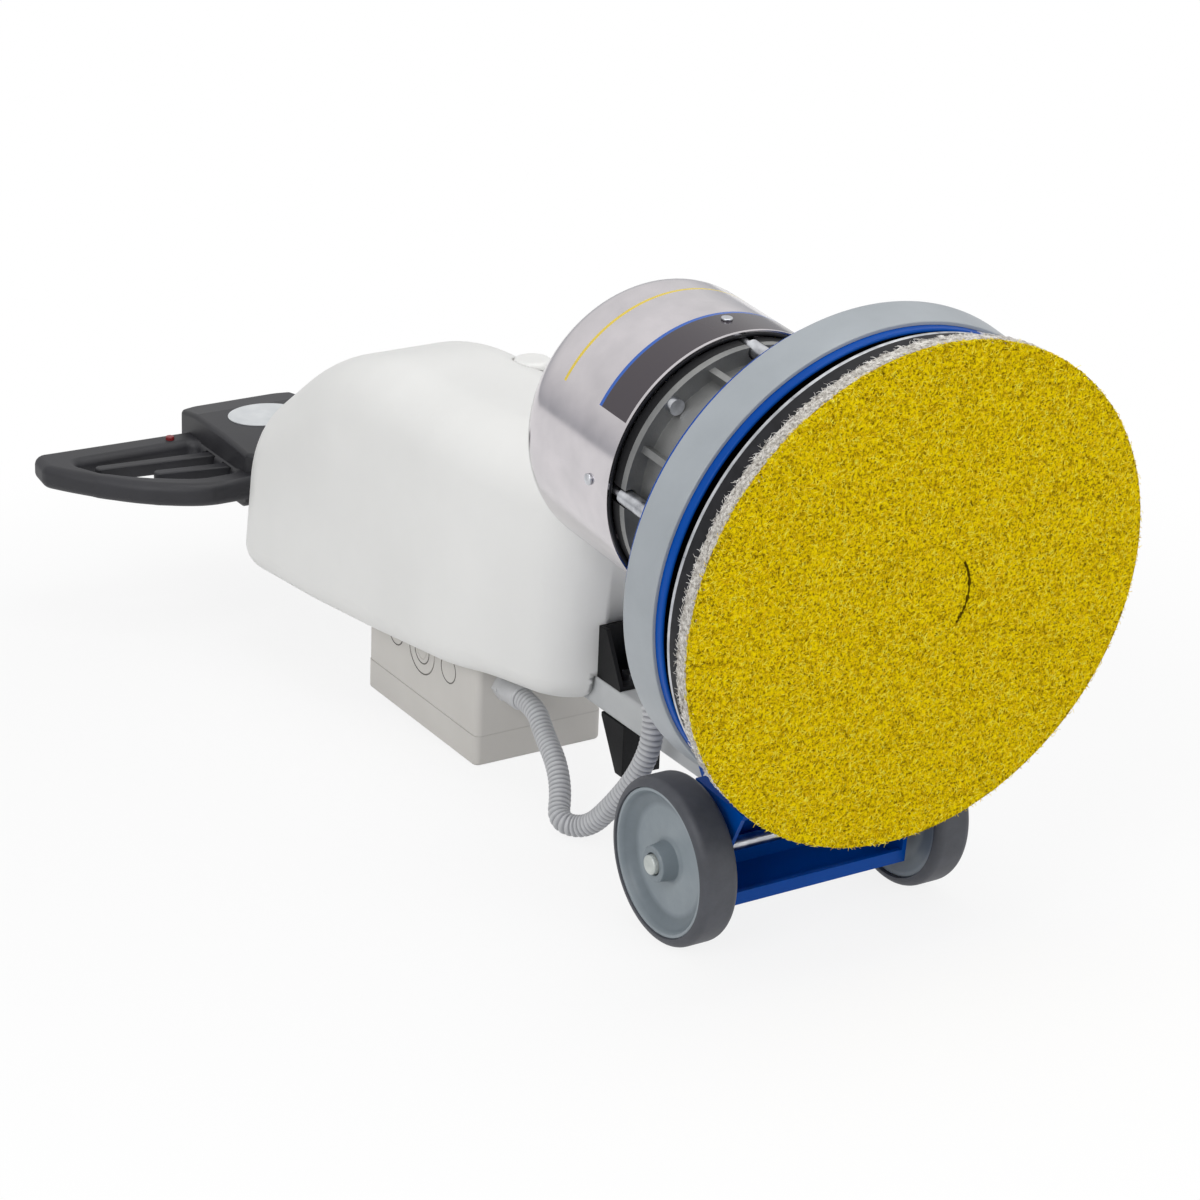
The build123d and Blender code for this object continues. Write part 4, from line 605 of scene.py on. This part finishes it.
# Polished stainless: mirrors its surroundings, a little hazed in swirls of 33 mm. The printed bands
# are ink and not metal, each given by its middle behind the rim, half its width and its colour.
mirror_steel = mottled("polished_stainless", patch_mm=33, detail=5, rough=(0.1, 0.22),
                       tones=((0.3, "#c6c2c5"), (0.7, "#d4cfd2")))
tree, surface, place, colour = opened(mirror_steel)
local = put(tree, "ShaderNodeMapping",
            {"Vector": place, "Location": pad_middle, "Rotation": (base_tilt, 0, 0)}, vector_type="TEXTURE")
parts = put(tree, "ShaderNodeSeparateXYZ", {"Vector": local.outputs["Vector"]})
turn = put(tree, "ShaderNodeMath", {0: parts.outputs["X"], 1: parts.outputs["Z"]}, operation="ARCTAN2")
sector = put(tree, "ShaderNodeMath", {0: turn.outputs[0], 1: print_middle, 2: print_half},
             operation="COMPARE")
inked = 0.0
for middle, half, code in print_bands:
    band = put(tree, "ShaderNodeMath", {0: parts.outputs["Y"], 1: cover_front + middle, 2: half},
               operation="COMPARE")
    mask = put(tree, "ShaderNodeMath", {0: band.outputs[0], 1: sector.outputs[0]}, operation="MULTIPLY")
    layer = put(tree, "ShaderNodeMix", {0: mask.outputs[0], 6: colour, 7: tint(code)}, data_type="RGBA")
    colour = layer.outputs[2]
    inked = put(tree, "ShaderNodeMath", {0: inked, 1: mask.outputs[0]}, operation="ADD").outputs[0]
tree.links.new(colour, surface["Base Color"])
put(tree, "ShaderNodeMath", {0: 1.0, 1: inked}, operation="SUBTRACT", use_clamp=True,
    feeds={0: surface["Metallic"]})

cover = turned(
    [(cover_inner, cover_front), (cover_radius, cover_front), (cover_radius, cover_front + cover_belt),
     (cover_radius, cover_corner), *arc(cover_radius - cover_round, cover_corner, cover_round, 9, 90, 9),
     (slot_ring, cover_rear), (slot_start, cover_rear), (closed_end, cover_rear),
     (closed_end, cover_rear - cover_wall), (slot_start, cover_rear - cover_wall),
     *arc(cover_radius - cover_round, cover_corner, cover_round - cover_wall, 90, 9, 9),
     (cover_inner, cover_corner), (cover_inner, cover_front)],
    segments=240, place=Matrix.Identity(4),
)
bpy.ops.object.select_all(action="DESELECT")
bpy.ops.mesh.primitive_cylinder_add(vertices=24, radius=slot_half, depth=0.01,
                                    location=(slot_start, 0, cover_rear))
pattern = bpy.context.object
bpy.ops.object.transform_apply(location=True, rotation=True, scale=True)
for vertex in pattern.data.vertices:
    if vertex.co.x > slot_start + 0.000001:
        vertex.co.x += slot_length
slots = []
for step in range(slot_count):
    copied = pattern.data.copy()
    copied.transform(Matrix.Rotation(2 * math.pi * step / slot_count, 4, "Z"))
    slots.append(bpy.data.objects.new("slot", copied))
    bpy.context.scene.collection.objects.link(slots[-1])
bpy.data.objects.remove(pattern)
alone(slots[0])
for slot in slots:
    slot.select_set(True)
bpy.ops.object.join()
carve(cover, slots[0])
cover.data.transform(pad_place)
alone(cover)
bpy.ops.object.shade_smooth_by_angle(angle=math.radians(32))
settle(cover, "motor_cover_shell", "chassis", mirror_steel)
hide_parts("motor_cover")

# Edging: a black rubber lip pressed inside the open rim of the cover. Screws through the cover hold it
# to its studs.
trim_inner = 0.117
trim_rear = 0.275
trim_round = 0.0015
trim_front = cover_front + trim_round

# Extruded rubber: black and matt, greyed by dust in patches of 25 mm.
black_rubber = mottled("black_edging_rubber", patch_mm=25, detail=5,
                       tones=((0.3, "#111113"), (0.7, "#1d1d20")), Roughness=0.5)
trim = turned(
    [(trim_inner, trim_front), *arc(trim_inner + trim_round, trim_front, trim_round, 180, 270, 4),
     *arc(cover_inner - trim_round, trim_front, trim_round, 270, 360, 4),
     (cover_inner, trim_rear), (trim_inner, trim_rear), (trim_inner, trim_front)],
    segments=240, place=pad_place,
)
settle(trim, "cover_edging", "chassis", black_rubber)
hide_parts("cover_trim")
coat(zinc_steel, "cover_screws", "hinge_bolt", "pole_bolts")

# Wheel bracket: folded steel sheet welded to the hinge lugs and bolted to the deck, in the deck's
# blue.
dressed("wheel_bracket", "wheel_bracket_fold", "chassis", blue_coat, edge=0.0007)

# Transport wheels: grey moulded hubs with a dished face, dark rubber tyres with round shoulders,
# and a pressed cap pushed on each end of the steel axle.
axle_point = joint_spots["wheel_left_spin"]
hub_bore = 0.0062
hub_radius = 0.0635
hub_near = 0.093
hub_far = 0.1332
hub_web = 0.1025
tyre_bore = 0.0636
tyre_radius = 0.072
tyre_near = 0.0995
tyre_far = 0.1345
tyre_bead = 0.0008
tyre_shoulder = 0.008
cap_bore = 0.0061
cap_radius = 0.0084
cap_seat = 0.1338
cap_round = 0.0016
cap_side = 0.1406
cap_top = 0.1428
cap_inside = 0.1423

# Moulded nylon: cool grey and satin, scuffed, a little darker over the boss, and with painted shade over the
# dish's outer slope, darkest at its foot and left pale on the rim lip. Its fine grain is drawn at 1.5 mm,
# coarser than the real one, so that it shows.
hub_plastic = mottled(
    "grey_nylon_hub", patch_mm=36, detail=6, uneven=0.65, tones=((0.3, "#869096"), (0.7, "#949da3")),
    grain_mm=1.5, relief=(0.1, 0.0005), Roughness=0.42,
)
tree, surface, place, clean = opened(hub_plastic)
parts = put(tree, "ShaderNodeSeparateXYZ", {"Vector": place})
flat = put(tree, "ShaderNodeCombineXYZ", {"Y": parts.outputs["Y"], "Z": parts.outputs["Z"]})
far = put(tree, "ShaderNodeVectorMath", {0: flat.outputs[0], 1: (0, axle_point.y, axle_point.z)},
          operation="DISTANCE")
reach = put(tree, "ShaderNodeMapRange", {"Value": far.outputs["Value"], "From Max": hub_radius})
# Painted shade: this ramp darkens the dish's outer slope below the rim lip, and the boss a little.
dish_shade = put(tree, "ShaderNodeValToRGB", {"Fac": reach.outputs["Result"]},
            stops=((0.27, "#dcdfe1"), (0.34, "#ffffff"), (0.7, "#f4f5f6"), (0.78, "#c6cacd"),
                   (0.92, "#d2d5d8"), (0.955, "#ffffff")))
put(tree, "ShaderNodeMix", {0: 1.0, 6: clean, 7: dish_shade.outputs["Color"]}, data_type="RGBA",
    blend_type="MULTIPLY", feeds={2: surface["Base Color"]})

# Tyre rubber: dark slate grey and matt, rubbed paler in patches of 28 mm.
tyre_rubber = mottled(
    "dark_grey_tyre_rubber", patch_mm=28, detail=7, uneven=0.7, tones=((0.3, "#3e4046"), (0.7, "#4c4e55")),
    relief=(0.12, 0.001), Roughness=0.55,
)

# Dull zinc: pale grey with little mirror, smeared in spots of 8 mm.
dull_zinc = mottled("dull_zinc_cap", patch_mm=8, detail=4, tones=((0.3, "#b2b8b5"), (0.7, "#c8cdca")),
                    Metallic=0.4, Roughness=0.45)

# Each wheel's outline gives radius and distance from the machine's middle plane. The hub's runs from
# its bore along the back, over the rim, down the dish and up the collar.
hub_outline = [
    (hub_bore, hub_near), (0.0142, hub_near), (0.015, 0.0938), (0.021, 0.1105), (0.048, hub_web),
    (0.0627, hub_web), (hub_radius, 0.1033), (hub_radius, 0.1324), (0.0628, hub_far), (0.0606, hub_far),
    (0.0598, 0.1322), (0.0586, 0.129), (0.055, 0.1255), (0.05, 0.1234), (0.046, 0.1226), (0.0205, 0.122),
    (0.0185, 0.1226), (0.0172, 0.124), (0.0154, 0.1374), (0.0146, 0.1382), (0.0102, 0.1382),
    (0.0098, 0.1378), (0.0098, 0.1335), (hub_bore, 0.1335), (hub_bore, hub_near),
]
tyre_outline = [
    (tyre_bore, tyre_near + tyre_bead),
    *arc(tyre_radius - tyre_shoulder, tyre_near + tyre_shoulder, tyre_shoulder, 270, 360, 8),
    (tyre_radius, (tyre_near + tyre_far) / 2),
    *arc(tyre_radius - tyre_shoulder, tyre_far - tyre_shoulder, tyre_shoulder, 0, 90, 8),
    (tyre_bore, tyre_far - tyre_bead), (tyre_bore, tyre_near + tyre_bead),
]
cap_outline = [
    (cap_bore, cap_seat), (cap_radius, cap_seat), *arc(cap_radius - cap_round, cap_side, cap_round, 0, 90, 5),
    (closed_end, cap_top), (closed_end, cap_inside), (cap_bore, cap_inside), (cap_bore, cap_seat),
]
caps = []
for side, across in (("left", -1), ("right", 1)):
    wheel_place = Matrix.Translation(axle_point) @ Matrix.Rotation(across * math.pi / 2, 4, "Y")
    hub = turned(hub_outline, segments=160, place=wheel_place)
    settle(hub, "wheel_hub_%s_moulding" % side, "wheel_%s" % side, hub_plastic)
    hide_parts("wheel_hub_%s" % side)
    tyre = turned(tyre_outline, segments=160, place=wheel_place)
    settle(tyre, "tyre_%s_rubber" % side, "wheel_%s" % side, tyre_rubber)
    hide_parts("tyre_%s" % side)
    caps.append(turned(cap_outline, segments=48, place=wheel_place))
alone(caps[0])
caps[1].select_set(True)
bpy.ops.object.join()
settle(caps[0], "axle_push_caps", "chassis", dull_zinc)
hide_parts("axle_caps")

# Handle pole: rectangular steel tube in pale grey powder coat, hinged at its foot, with two
# folded black brackets that locate the tank and the box.

# Powder coat: pale grey and satin, with an orange peel of 1.7 mm and slow shifts of tone.
pole_coat = mottled(
    "pale_grey_powder_coat", patch_mm=80, detail=4, tones=((0.3, "#b4b7b8"), (0.7, "#c6c8c9")),
    grain_mm=1.7, relief=(0.12, 0.0005), Roughness=0.4,
)
dressed("pole", "pole_tube", "handle", pole_coat, edge=0.0005)
dressed("shelf_bracket", "tank_shelf_bracket", "handle", black_coat, edge=0.0008)
dressed("lower_bracket", "box_shelf_bracket", "handle", black_coat, edge=0.0008)

# Solution tank: rotationally moulded polyethylene, natural white and soft in every edge. It
# straddles the pole and has a filler cap that opens by a quarter turn.

# Natural polyethylene: milky, a little cloudy over 140 mm, with a waxy skin of 4 mm dimples that lets
# light in.
tank_plastic = mottled(
    "natural_polyethylene", patch_mm=140, detail=5, tones=((0.3, "#e7e7e5"), (0.7, "#ededeb")),
    grain_mm=4, grain_detail=3, relief=(0.05, 0.0006), Roughness=0.45, Specular_IOR_Level=0.4,
    Subsurface_Weight=0.2, Subsurface_Radius=(1.0, 1.0, 0.97), Subsurface_Scale=0.004,
)
dressed("tank", "tank_moulding", "handle", tank_plastic, edge=0)
dressed("tank_cap", "tank_cap_moulding", "cap", tank_plastic, edge=0.0006)

# Control box: a moulded grey housing with knock-out rings and a deep lid on its floor side,
# closed by four plastic screws.
handle_tilt = math.radians(4)
handle_place = Matrix.Translation(joint_spots["handle_tilt"]) @ Matrix.Rotation(handle_tilt, 4, "X")
box_half = 0.068
ring_height = -0.040
ring_radius = 0.0134
wide_radius = 0.0236
wide_along = 0.438
ring_sizes = ((0.388, ring_radius), (wide_along, ring_radius), (0.488, ring_radius),
              (wide_along, wide_radius))
groove_half = 0.0007
groove_depth = 0.0008
lid_seam = -0.0878
seam_darkening = 0.12

# Moulded ABS: pale grey and satin, tinted darker in the knock-out grooves and along the lid's joint. Its fine
# grain is drawn at 1.25 mm, coarser than the real one, so that it shows.
box_plastic = mottled(
    "light_grey_abs", patch_mm=100, detail=4, tones=((0.3, "#cbc8c3"), (0.7, "#d4d1cc")),
    grain_mm=1.25, relief=(0.12, 0.0004), Roughness=0.5,
)
tree, surface, place, clean = opened(box_plastic)
local = put(tree, "ShaderNodeMapping",
            {"Vector": place, "Location": joint_spots["handle_tilt"], "Rotation": (handle_tilt, 0, 0)},
            vector_type="TEXTURE")
parts = put(tree, "ShaderNodeSeparateXYZ", {"Vector": local.outputs["Vector"]})
flat = put(tree, "ShaderNodeCombineXYZ", {"Y": parts.outputs["Y"], "Z": parts.outputs["Z"]})
seam = put(tree, "ShaderNodeMath", {0: parts.outputs["Z"], 1: lid_seam, 2: groove_half}, operation="COMPARE")
groove_darkening = put(tree, "ShaderNodeMath", {0: seam.outputs[0], 1: seam_darkening}, operation="MULTIPLY")
for along, radius in ring_sizes:
    far = put(tree, "ShaderNodeVectorMath", {0: flat.outputs[0], 1: (0, along, ring_height)},
              operation="DISTANCE")
    ring = put(tree, "ShaderNodeMath", {0: far.outputs["Value"], 1: radius, 2: groove_half},
               operation="COMPARE")
    groove_darkening = put(tree, "ShaderNodeMath", {0: groove_darkening.outputs[0], 1: ring.outputs[0]}, operation="MAXIMUM")
# The knock-out grooves and the lid's joint are tinted darker.
put(tree, "ShaderNodeMix", {0: groove_darkening.outputs[0], 6: clean, 7: tint("#6f6c68")}, data_type="RGBA",
    feeds={2: surface["Base Color"]})
box = dressed("box_body", "box_housing", "handle", box_plastic, edge=0.0003)
groove_low = wide_radius - groove_half
groove_high = wide_radius + groove_half
groove_outline = [(groove_low, -groove_depth), (groove_high, -groove_depth), (groove_high, groove_depth),
                  (groove_low, groove_depth), (groove_low, -groove_depth)]
for across in (-1, 1):
    ring_place = handle_place @ Matrix.Translation((across * box_half, wide_along, ring_height))
    ring_place = ring_place @ Matrix.Rotation(math.pi / 2, 4, "Y")
    carve(box, turned(groove_outline, segments=64, place=ring_place))
even_shade(box)
dressed("box_lid", "box_cover", "handle", box_plastic, edge=0.0003)
coat(box_plastic, "lid_screws")

# Corrugated conduit: grey flexible plastic pipe, 20 mm across with ribs 5 mm apart. It leaves the
# box gland, sags to the floor and climbs to the gland in the motor cover.
conduit_route = [
    (-0.0400, -0.0493, 0.0751), (-0.0400, -0.0733, 0.0734), (-0.0470, -0.0983, 0.0591),
    (-0.0570, -0.1373, 0.0451), (-0.0680, -0.1623, 0.0281), (-0.0850, -0.1843, 0.0115),
    (-0.0700, -0.2103, 0.0115), (-0.0620, -0.2405, 0.0427), (-0.0540, -0.2705, 0.0817),
    (-0.0480, -0.2845, 0.1207), (-0.0450, -0.2741, 0.1692), (-0.0450, -0.2805, 0.2147),
]
conduit_radius = 0.010
rib_pitch = 0.0049
rib_depth = 0.0019
rib_shape = ((0.0, 1.0), (0.1, 0.85), (0.26, 0.12), (0.4, 0.0), (0.6, 0.0), (0.74, 0.12), (0.9, 0.85))
around = 28

# Extruded PVC: pale grey and half glossy, with painted shade down in the valleys between the ribs.
conduit_plastic = mottled("grey_pvc_conduit", patch_mm=17, detail=4,
                          tones=((0.3, "#bfc0c2"), (0.7, "#cccdcf")), Roughness=0.42)
tree, surface, _, pale = opened(conduit_plastic)
# Painted shade: the valleys between the ribs are tinted darker.
valley_shade = put(tree, "ShaderNodeAttribute", {}, attribute_name="valley_shade")
put(tree, "ShaderNodeMix", {0: valley_shade.outputs["Fac"], 6: pale, 7: tint("#9b9ca0")}, data_type="RGBA",
    feeds={2: surface["Base Color"]})

line = bpy.data.curves.new("conduit_line", "CURVE")
line.dimensions = "3D"
line.resolution_u = 40
spline = line.splines.new("NURBS")
spline.points.add(len(conduit_route) - 1)
for point, spot in zip(spline.points, conduit_route):
    point.co = (*spot, 1)
spline.order_u = 3
spline.use_endpoint_u = True
line_object = bpy.data.objects.new("conduit_line", line)
bpy.context.scene.collection.objects.link(line_object)
bpy.context.view_layer.update()
read = bpy.data.meshes.new_from_object(line_object)
path = [vertex.co.copy() for vertex in read.vertices]
bpy.data.objects.remove(line_object)
bpy.data.meshes.remove(read)
gone = [0.0]
for before, after in zip(path, path[1:]):
    gone.append(gone[-1] + (after - before).length)
conduit_length = gone[-1]
rib_count = round(conduit_length / rib_pitch)
stations = []
for rib in range(rib_count):
    for share, drop in rib_shape:
        stations.append(((rib + share) / rib_count * conduit_length, drop))
stations.append((conduit_length, 1.0))
points = []
valley_shades = []
side = Vector((1, 0, 0))
index = 0
for far, drop in stations:
    while index < len(path) - 2 and gone[index + 1] < far:
        index += 1
    step = path[index + 1] - path[index]
    middle = path[index] + step * ((far - gone[index]) / step.length)
    heading = step.normalized()
    side = (side - heading * side.dot(heading)).normalized()
    lift = heading.cross(side)
    radius = conduit_radius - rib_depth * drop
    for corner in range(around):
        turn = 2 * math.pi * corner / around
        points.append(middle + radius * (math.cos(turn) * side + math.sin(turn) * lift))
        valley_shades.append(drop)
faces = []
for ring in range(len(stations) - 1):
    for corner in range(around):
        after = (corner + 1) % around
        faces.append((ring * around + corner, ring * around + after,
                      (ring + 1) * around + after, (ring + 1) * around + corner))
faces.append(tuple(reversed(range(around))))
faces.append(tuple((len(stations) - 1) * around + corner for corner in range(around)))
mesh = bpy.data.meshes.new("conduit_pipe")
mesh.from_pydata([tuple(p) for p in points], [], faces)
mesh.attributes.new("valley_shade", "FLOAT", "POINT").data.foreach_set("value", valley_shades)
conduit = bpy.data.objects.new("conduit_pipe", mesh)
bpy.context.scene.collection.objects.link(conduit)
alone(conduit)
bpy.ops.object.shade_smooth_by_angle(angle=math.radians(50))
conduit.data.materials.append(conduit_plastic)
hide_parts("conduit")
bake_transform(conduit)
dressed("box_gland", "box_gland_nut", "handle", conduit_plastic, edge=0.0005)
dressed("motor_gland", "motor_gland_nut", "chassis", conduit_plastic, edge=0.0005)

# Handle head: two moulded halves of grained black plastic round the end of the pole, with a
# round-edged block in the middle, a bowed finger loop on each side, levers in the loops, an oval
# plate on top and a red button.
block_clear = 0.0175
block_edge = 0.006
block_rear = 0.9595
long_edge = 0.012
loop_start = 0.09
loop_cuts = 7
past_inner = 1.15
# Straight outlines of the loops' outer and inner edges, as distance from the middle and along the
# pole, and the bowed ones over them, with a slope at each knot.
outer_bends = ((0.099, 0.795), (0.105, 0.795), (0.160, 0.822), (0.205, 0.867), (0.240, 0.919))
outer_bow = ((0.099, 0.795, 0.0), (0.160, 0.822, 0.70), (0.205, 0.867, 1.22), (0.240, 0.919, 2.0))
inner_bends = ((0.099, 0.823), (0.101, 0.823), (0.1505, 0.8461), (0.1908, 0.8812), (0.2045, 0.905),
               (0.240, 0.960))
inner_bow = ((0.099, 0.823, 0.0), (0.1505, 0.8461, 0.65), (0.1908, 0.8812, 1.2), (0.2045, 0.905, 2.5))


# The straight edge at this distance from the middle, and how far the bow moves it along the pole.
def bow_shift(across, bends, bow):
    straight = float(np.interp(across, *zip(*bends)))
    for (near, low, start), (far, high, end) in zip(bow, bow[1:]):
        if near <= across <= far:
            span = far - near
            t = (across - near) / span
            ends = (1 + 2 * t) * (1 - t) ** 2 * low + t * t * (3 - 2 * t) * high
            slopes = t * (1 - t) ** 2 * start - t * t * (1 - t) * end
            return straight, ends + span * slopes - straight
    return straight, 0.0


to_handle = handle_place.inverted()
for node in ("head_upper", "head_lower"):
    half = dressed(node, node + "_half", "handle", black_moulding, edge=0)
    alone(half)
    bpy.ops.object.mode_set(mode="EDIT")
    bpy.ops.mesh.select_mode(type="EDGE")
    bpy.ops.mesh.select_all(action="DESELECT")
    bpy.ops.mesh.edges_select_sharp(sharpness=math.radians(30))
    bpy.ops.object.mode_set(mode="OBJECT")
    crisp = []
    for edge in half.data.edges:
        first, last = (to_handle @ half.data.vertices[corner].co for corner in edge.vertices)
        if edge.select and min(abs(first.z), abs(last.z)) > block_clear and max(first.y, last.y) < block_rear:
            crisp.append(edge.index)
    bpy.ops.object.mode_set(mode="EDIT")
    bpy.ops.mesh.select_all(action="DESELECT")
    bpy.ops.object.mode_set(mode="OBJECT")
    for index in crisp:
        half.data.edges[index].select = True
    bpy.ops.object.mode_set(mode="EDIT")
    bpy.ops.mesh.bevel(offset=block_edge, segments=4, affect="EDGES", clamp_overlap=True)
    bpy.ops.mesh.select_all(action="DESELECT")
    bpy.ops.object.mode_set(mode="OBJECT")
    for edge in half.data.edges:
        first, last = (half.data.vertices[corner].co for corner in edge.vertices)
        edge.select = (first - last).length > long_edge and min(abs(first.x), abs(last.x)) > loop_start
    bpy.ops.object.mode_set(mode="EDIT")
    bpy.ops.mesh.subdivide(number_cuts=loop_cuts)
    bpy.ops.mesh.select_mode(type="VERT")
    bpy.ops.object.mode_set(mode="OBJECT")
    for vertex in half.data.vertices:
        spot = to_handle @ vertex.co
        front, front_shift = bow_shift(abs(spot.x), outer_bends, outer_bow)
        back, back_shift = bow_shift(abs(spot.x), inner_bends, inner_bow)
        share = (spot.y - front) / (back - front)
        if abs(spot.x) > outer_bow[0][0] and share < past_inner:
            share = min(max(share, 0.0), 1.0)
            spot.y += front_shift * (1 - share) + back_shift * share
            vertex.co = handle_place @ spot
    even_shade(half)
for node, body in (("switch_lever_left", "left_switch"), ("switch_lever_right", "right_switch"),
                   ("valve_lever", "water_lever"), ("tilt_lever", "tilt_release")):
    dressed(node, node + "_blade", body, black_moulding, edge=0.0004)

# Silver-white film: a smooth, faintly hazy sheet, in clouds of 20 mm.
plate_film = mottled("silver_white_film", patch_mm=20, detail=3,
                     tones=((0.3, "#cfd3d6"), (0.7, "#dfe2e4")), Roughness=0.3)
dressed("label_plate", "oval_plate", "handle", plate_film, edge=0.0003)

# Acetal: a dark red with a low gloss, uneven over 5 mm.
red_plastic = mottled("red_acetal", patch_mm=5, detail=3, tones=((0.3, "#781b20"), (0.7, "#8e2226")),
                      Roughness=0.35)
dressed("red_button", "red_button_cap", "safety_button", red_plastic, edge=0.0006)

# Studio: a white floor that runs out of view and keeps a faint shadow, a bright surround that is a
# little greyer near the horizon, and three soft lamps.
floor_size = 30
floor_drop = 0.0005
shadow_reach = 0.5
shadow_end = 1.1
white = (1, 1, 1, 1)
bpy.ops.object.select_all(action="DESELECT")
bpy.ops.mesh.primitive_plane_add(size=floor_size, location=(0, 0, -floor_drop))
floor = bpy.context.object
floor.name = "studio_floor"
white_floor, tree, _, place = new_finish(
    "white_floor_paint", Base_Color=tint("#ececec"), Roughness=0.9, Specular_IOR_Level=0.1
)


# What the camera, a mirror or glass sees, as against what lights the object.
def straight_look(tree):
    seen = put(tree, "ShaderNodeLightPath", {}).outputs
    mirrored = put(tree, "ShaderNodeMath", {0: seen["Is Camera Ray"], 1: seen["Is Glossy Ray"]},
                   operation="MAXIMUM")
    looked = put(tree, "ShaderNodeMath", {0: mirrored.outputs[0], 1: seen["Is Transmission Ray"]},
                 operation="MAXIMUM")
    return seen, looked.outputs[0]


_, direct = straight_look(tree)
glow = put(tree, "ShaderNodeEmission", {"Color": white, "Strength": 1.0})
away = put(tree, "ShaderNodeVectorMath", {0: place}, operation="LENGTH")
share = put(tree, "ShaderNodeMapRange",
            {"Value": away.outputs["Value"], "From Min": shadow_reach, "From Max": shadow_end, "To Min": 0.85,
             "To Max": 1.0}, interpolation_type="SMOOTHSTEP")
shown = put(tree, "ShaderNodeMath", {0: direct, 1: share.outputs["Result"]}, operation="MULTIPLY")
paint = tree.nodes["Principled BSDF"].outputs[0]
put(tree, "ShaderNodeMixShader", {0: shown.outputs[0], 1: paint, 2: glow.outputs[0]},
    feeds={0: tree.nodes["Material Output"].inputs["Surface"]})
floor.data.materials.append(white_floor)

world = bpy.data.worlds.new("studio_surround")
world.use_nodes = True
bpy.context.scene.world = world
tree = world.node_tree
surround = tree.nodes["Background"].inputs
seen, direct = straight_look(tree)
direction = put(tree, "ShaderNodeTexCoord", {}).outputs["Generated"]
height = put(tree, "ShaderNodeSeparateXYZ", {"Vector": direction}).outputs["Z"]
room = put(tree, "ShaderNodeValToRGB", {"Fac": height},
           stops=((0.0, "#b4b6ba"), (0.06, "#c9cacd"), (0.3, "#f0f0f0"), (0.8, "#ffffff")))
put(tree, "ShaderNodeMix", {0: seen["Is Camera Ray"], 6: room.outputs["Color"], 7: white}, data_type="RGBA",
    feeds={2: surround["Color"]})
put(tree, "ShaderNodeMapRange", {"Value": direct, "To Min": 0.58, "To Max": 1.0},
    feeds={"Result": surround["Strength"]})

lamp_aim = Vector((0, -0.3, 0.25))
for name, spot, power, size in (
    ("key_lamp", Vector((-2.8, -1.8, 2.0)), 42, 1.8),
    ("front_lamp", Vector((1.0, -3.2, 1.4)), 24, 1.8),
    ("top_lamp", Vector((0.2, -0.5, 3.0)), 22, 1.6),
):
    lamp = bpy.data.lights.new(name, "AREA")
    lamp.energy = power
    lamp.size = size
    lit = bpy.data.objects.new(name, lamp)
    lit.location = spot
    lit.rotation_euler = (lamp_aim - spot).to_track_quat("-Z", "Y").to_euler()
    bpy.context.scene.collection.objects.link(lit)

# Camera: a long lens at the left front, above the machine, so that the pad faces it and the pole runs
# away to the left.
lens = bpy.data.cameras.new("photo_camera")
lens.lens = 108
lens.sensor_width = 36
camera = bpy.data.objects.new("photo_camera", lens)
camera.location = (-1.6018, -2.6911, 1.2570)
camera.rotation_euler = (math.radians(70.5), 0, math.radians(-31.91))
bpy.context.scene.collection.objects.link(camera)
bpy.context.scene.camera = camera
bpy.context.scene.view_settings.view_transform = "Standard"
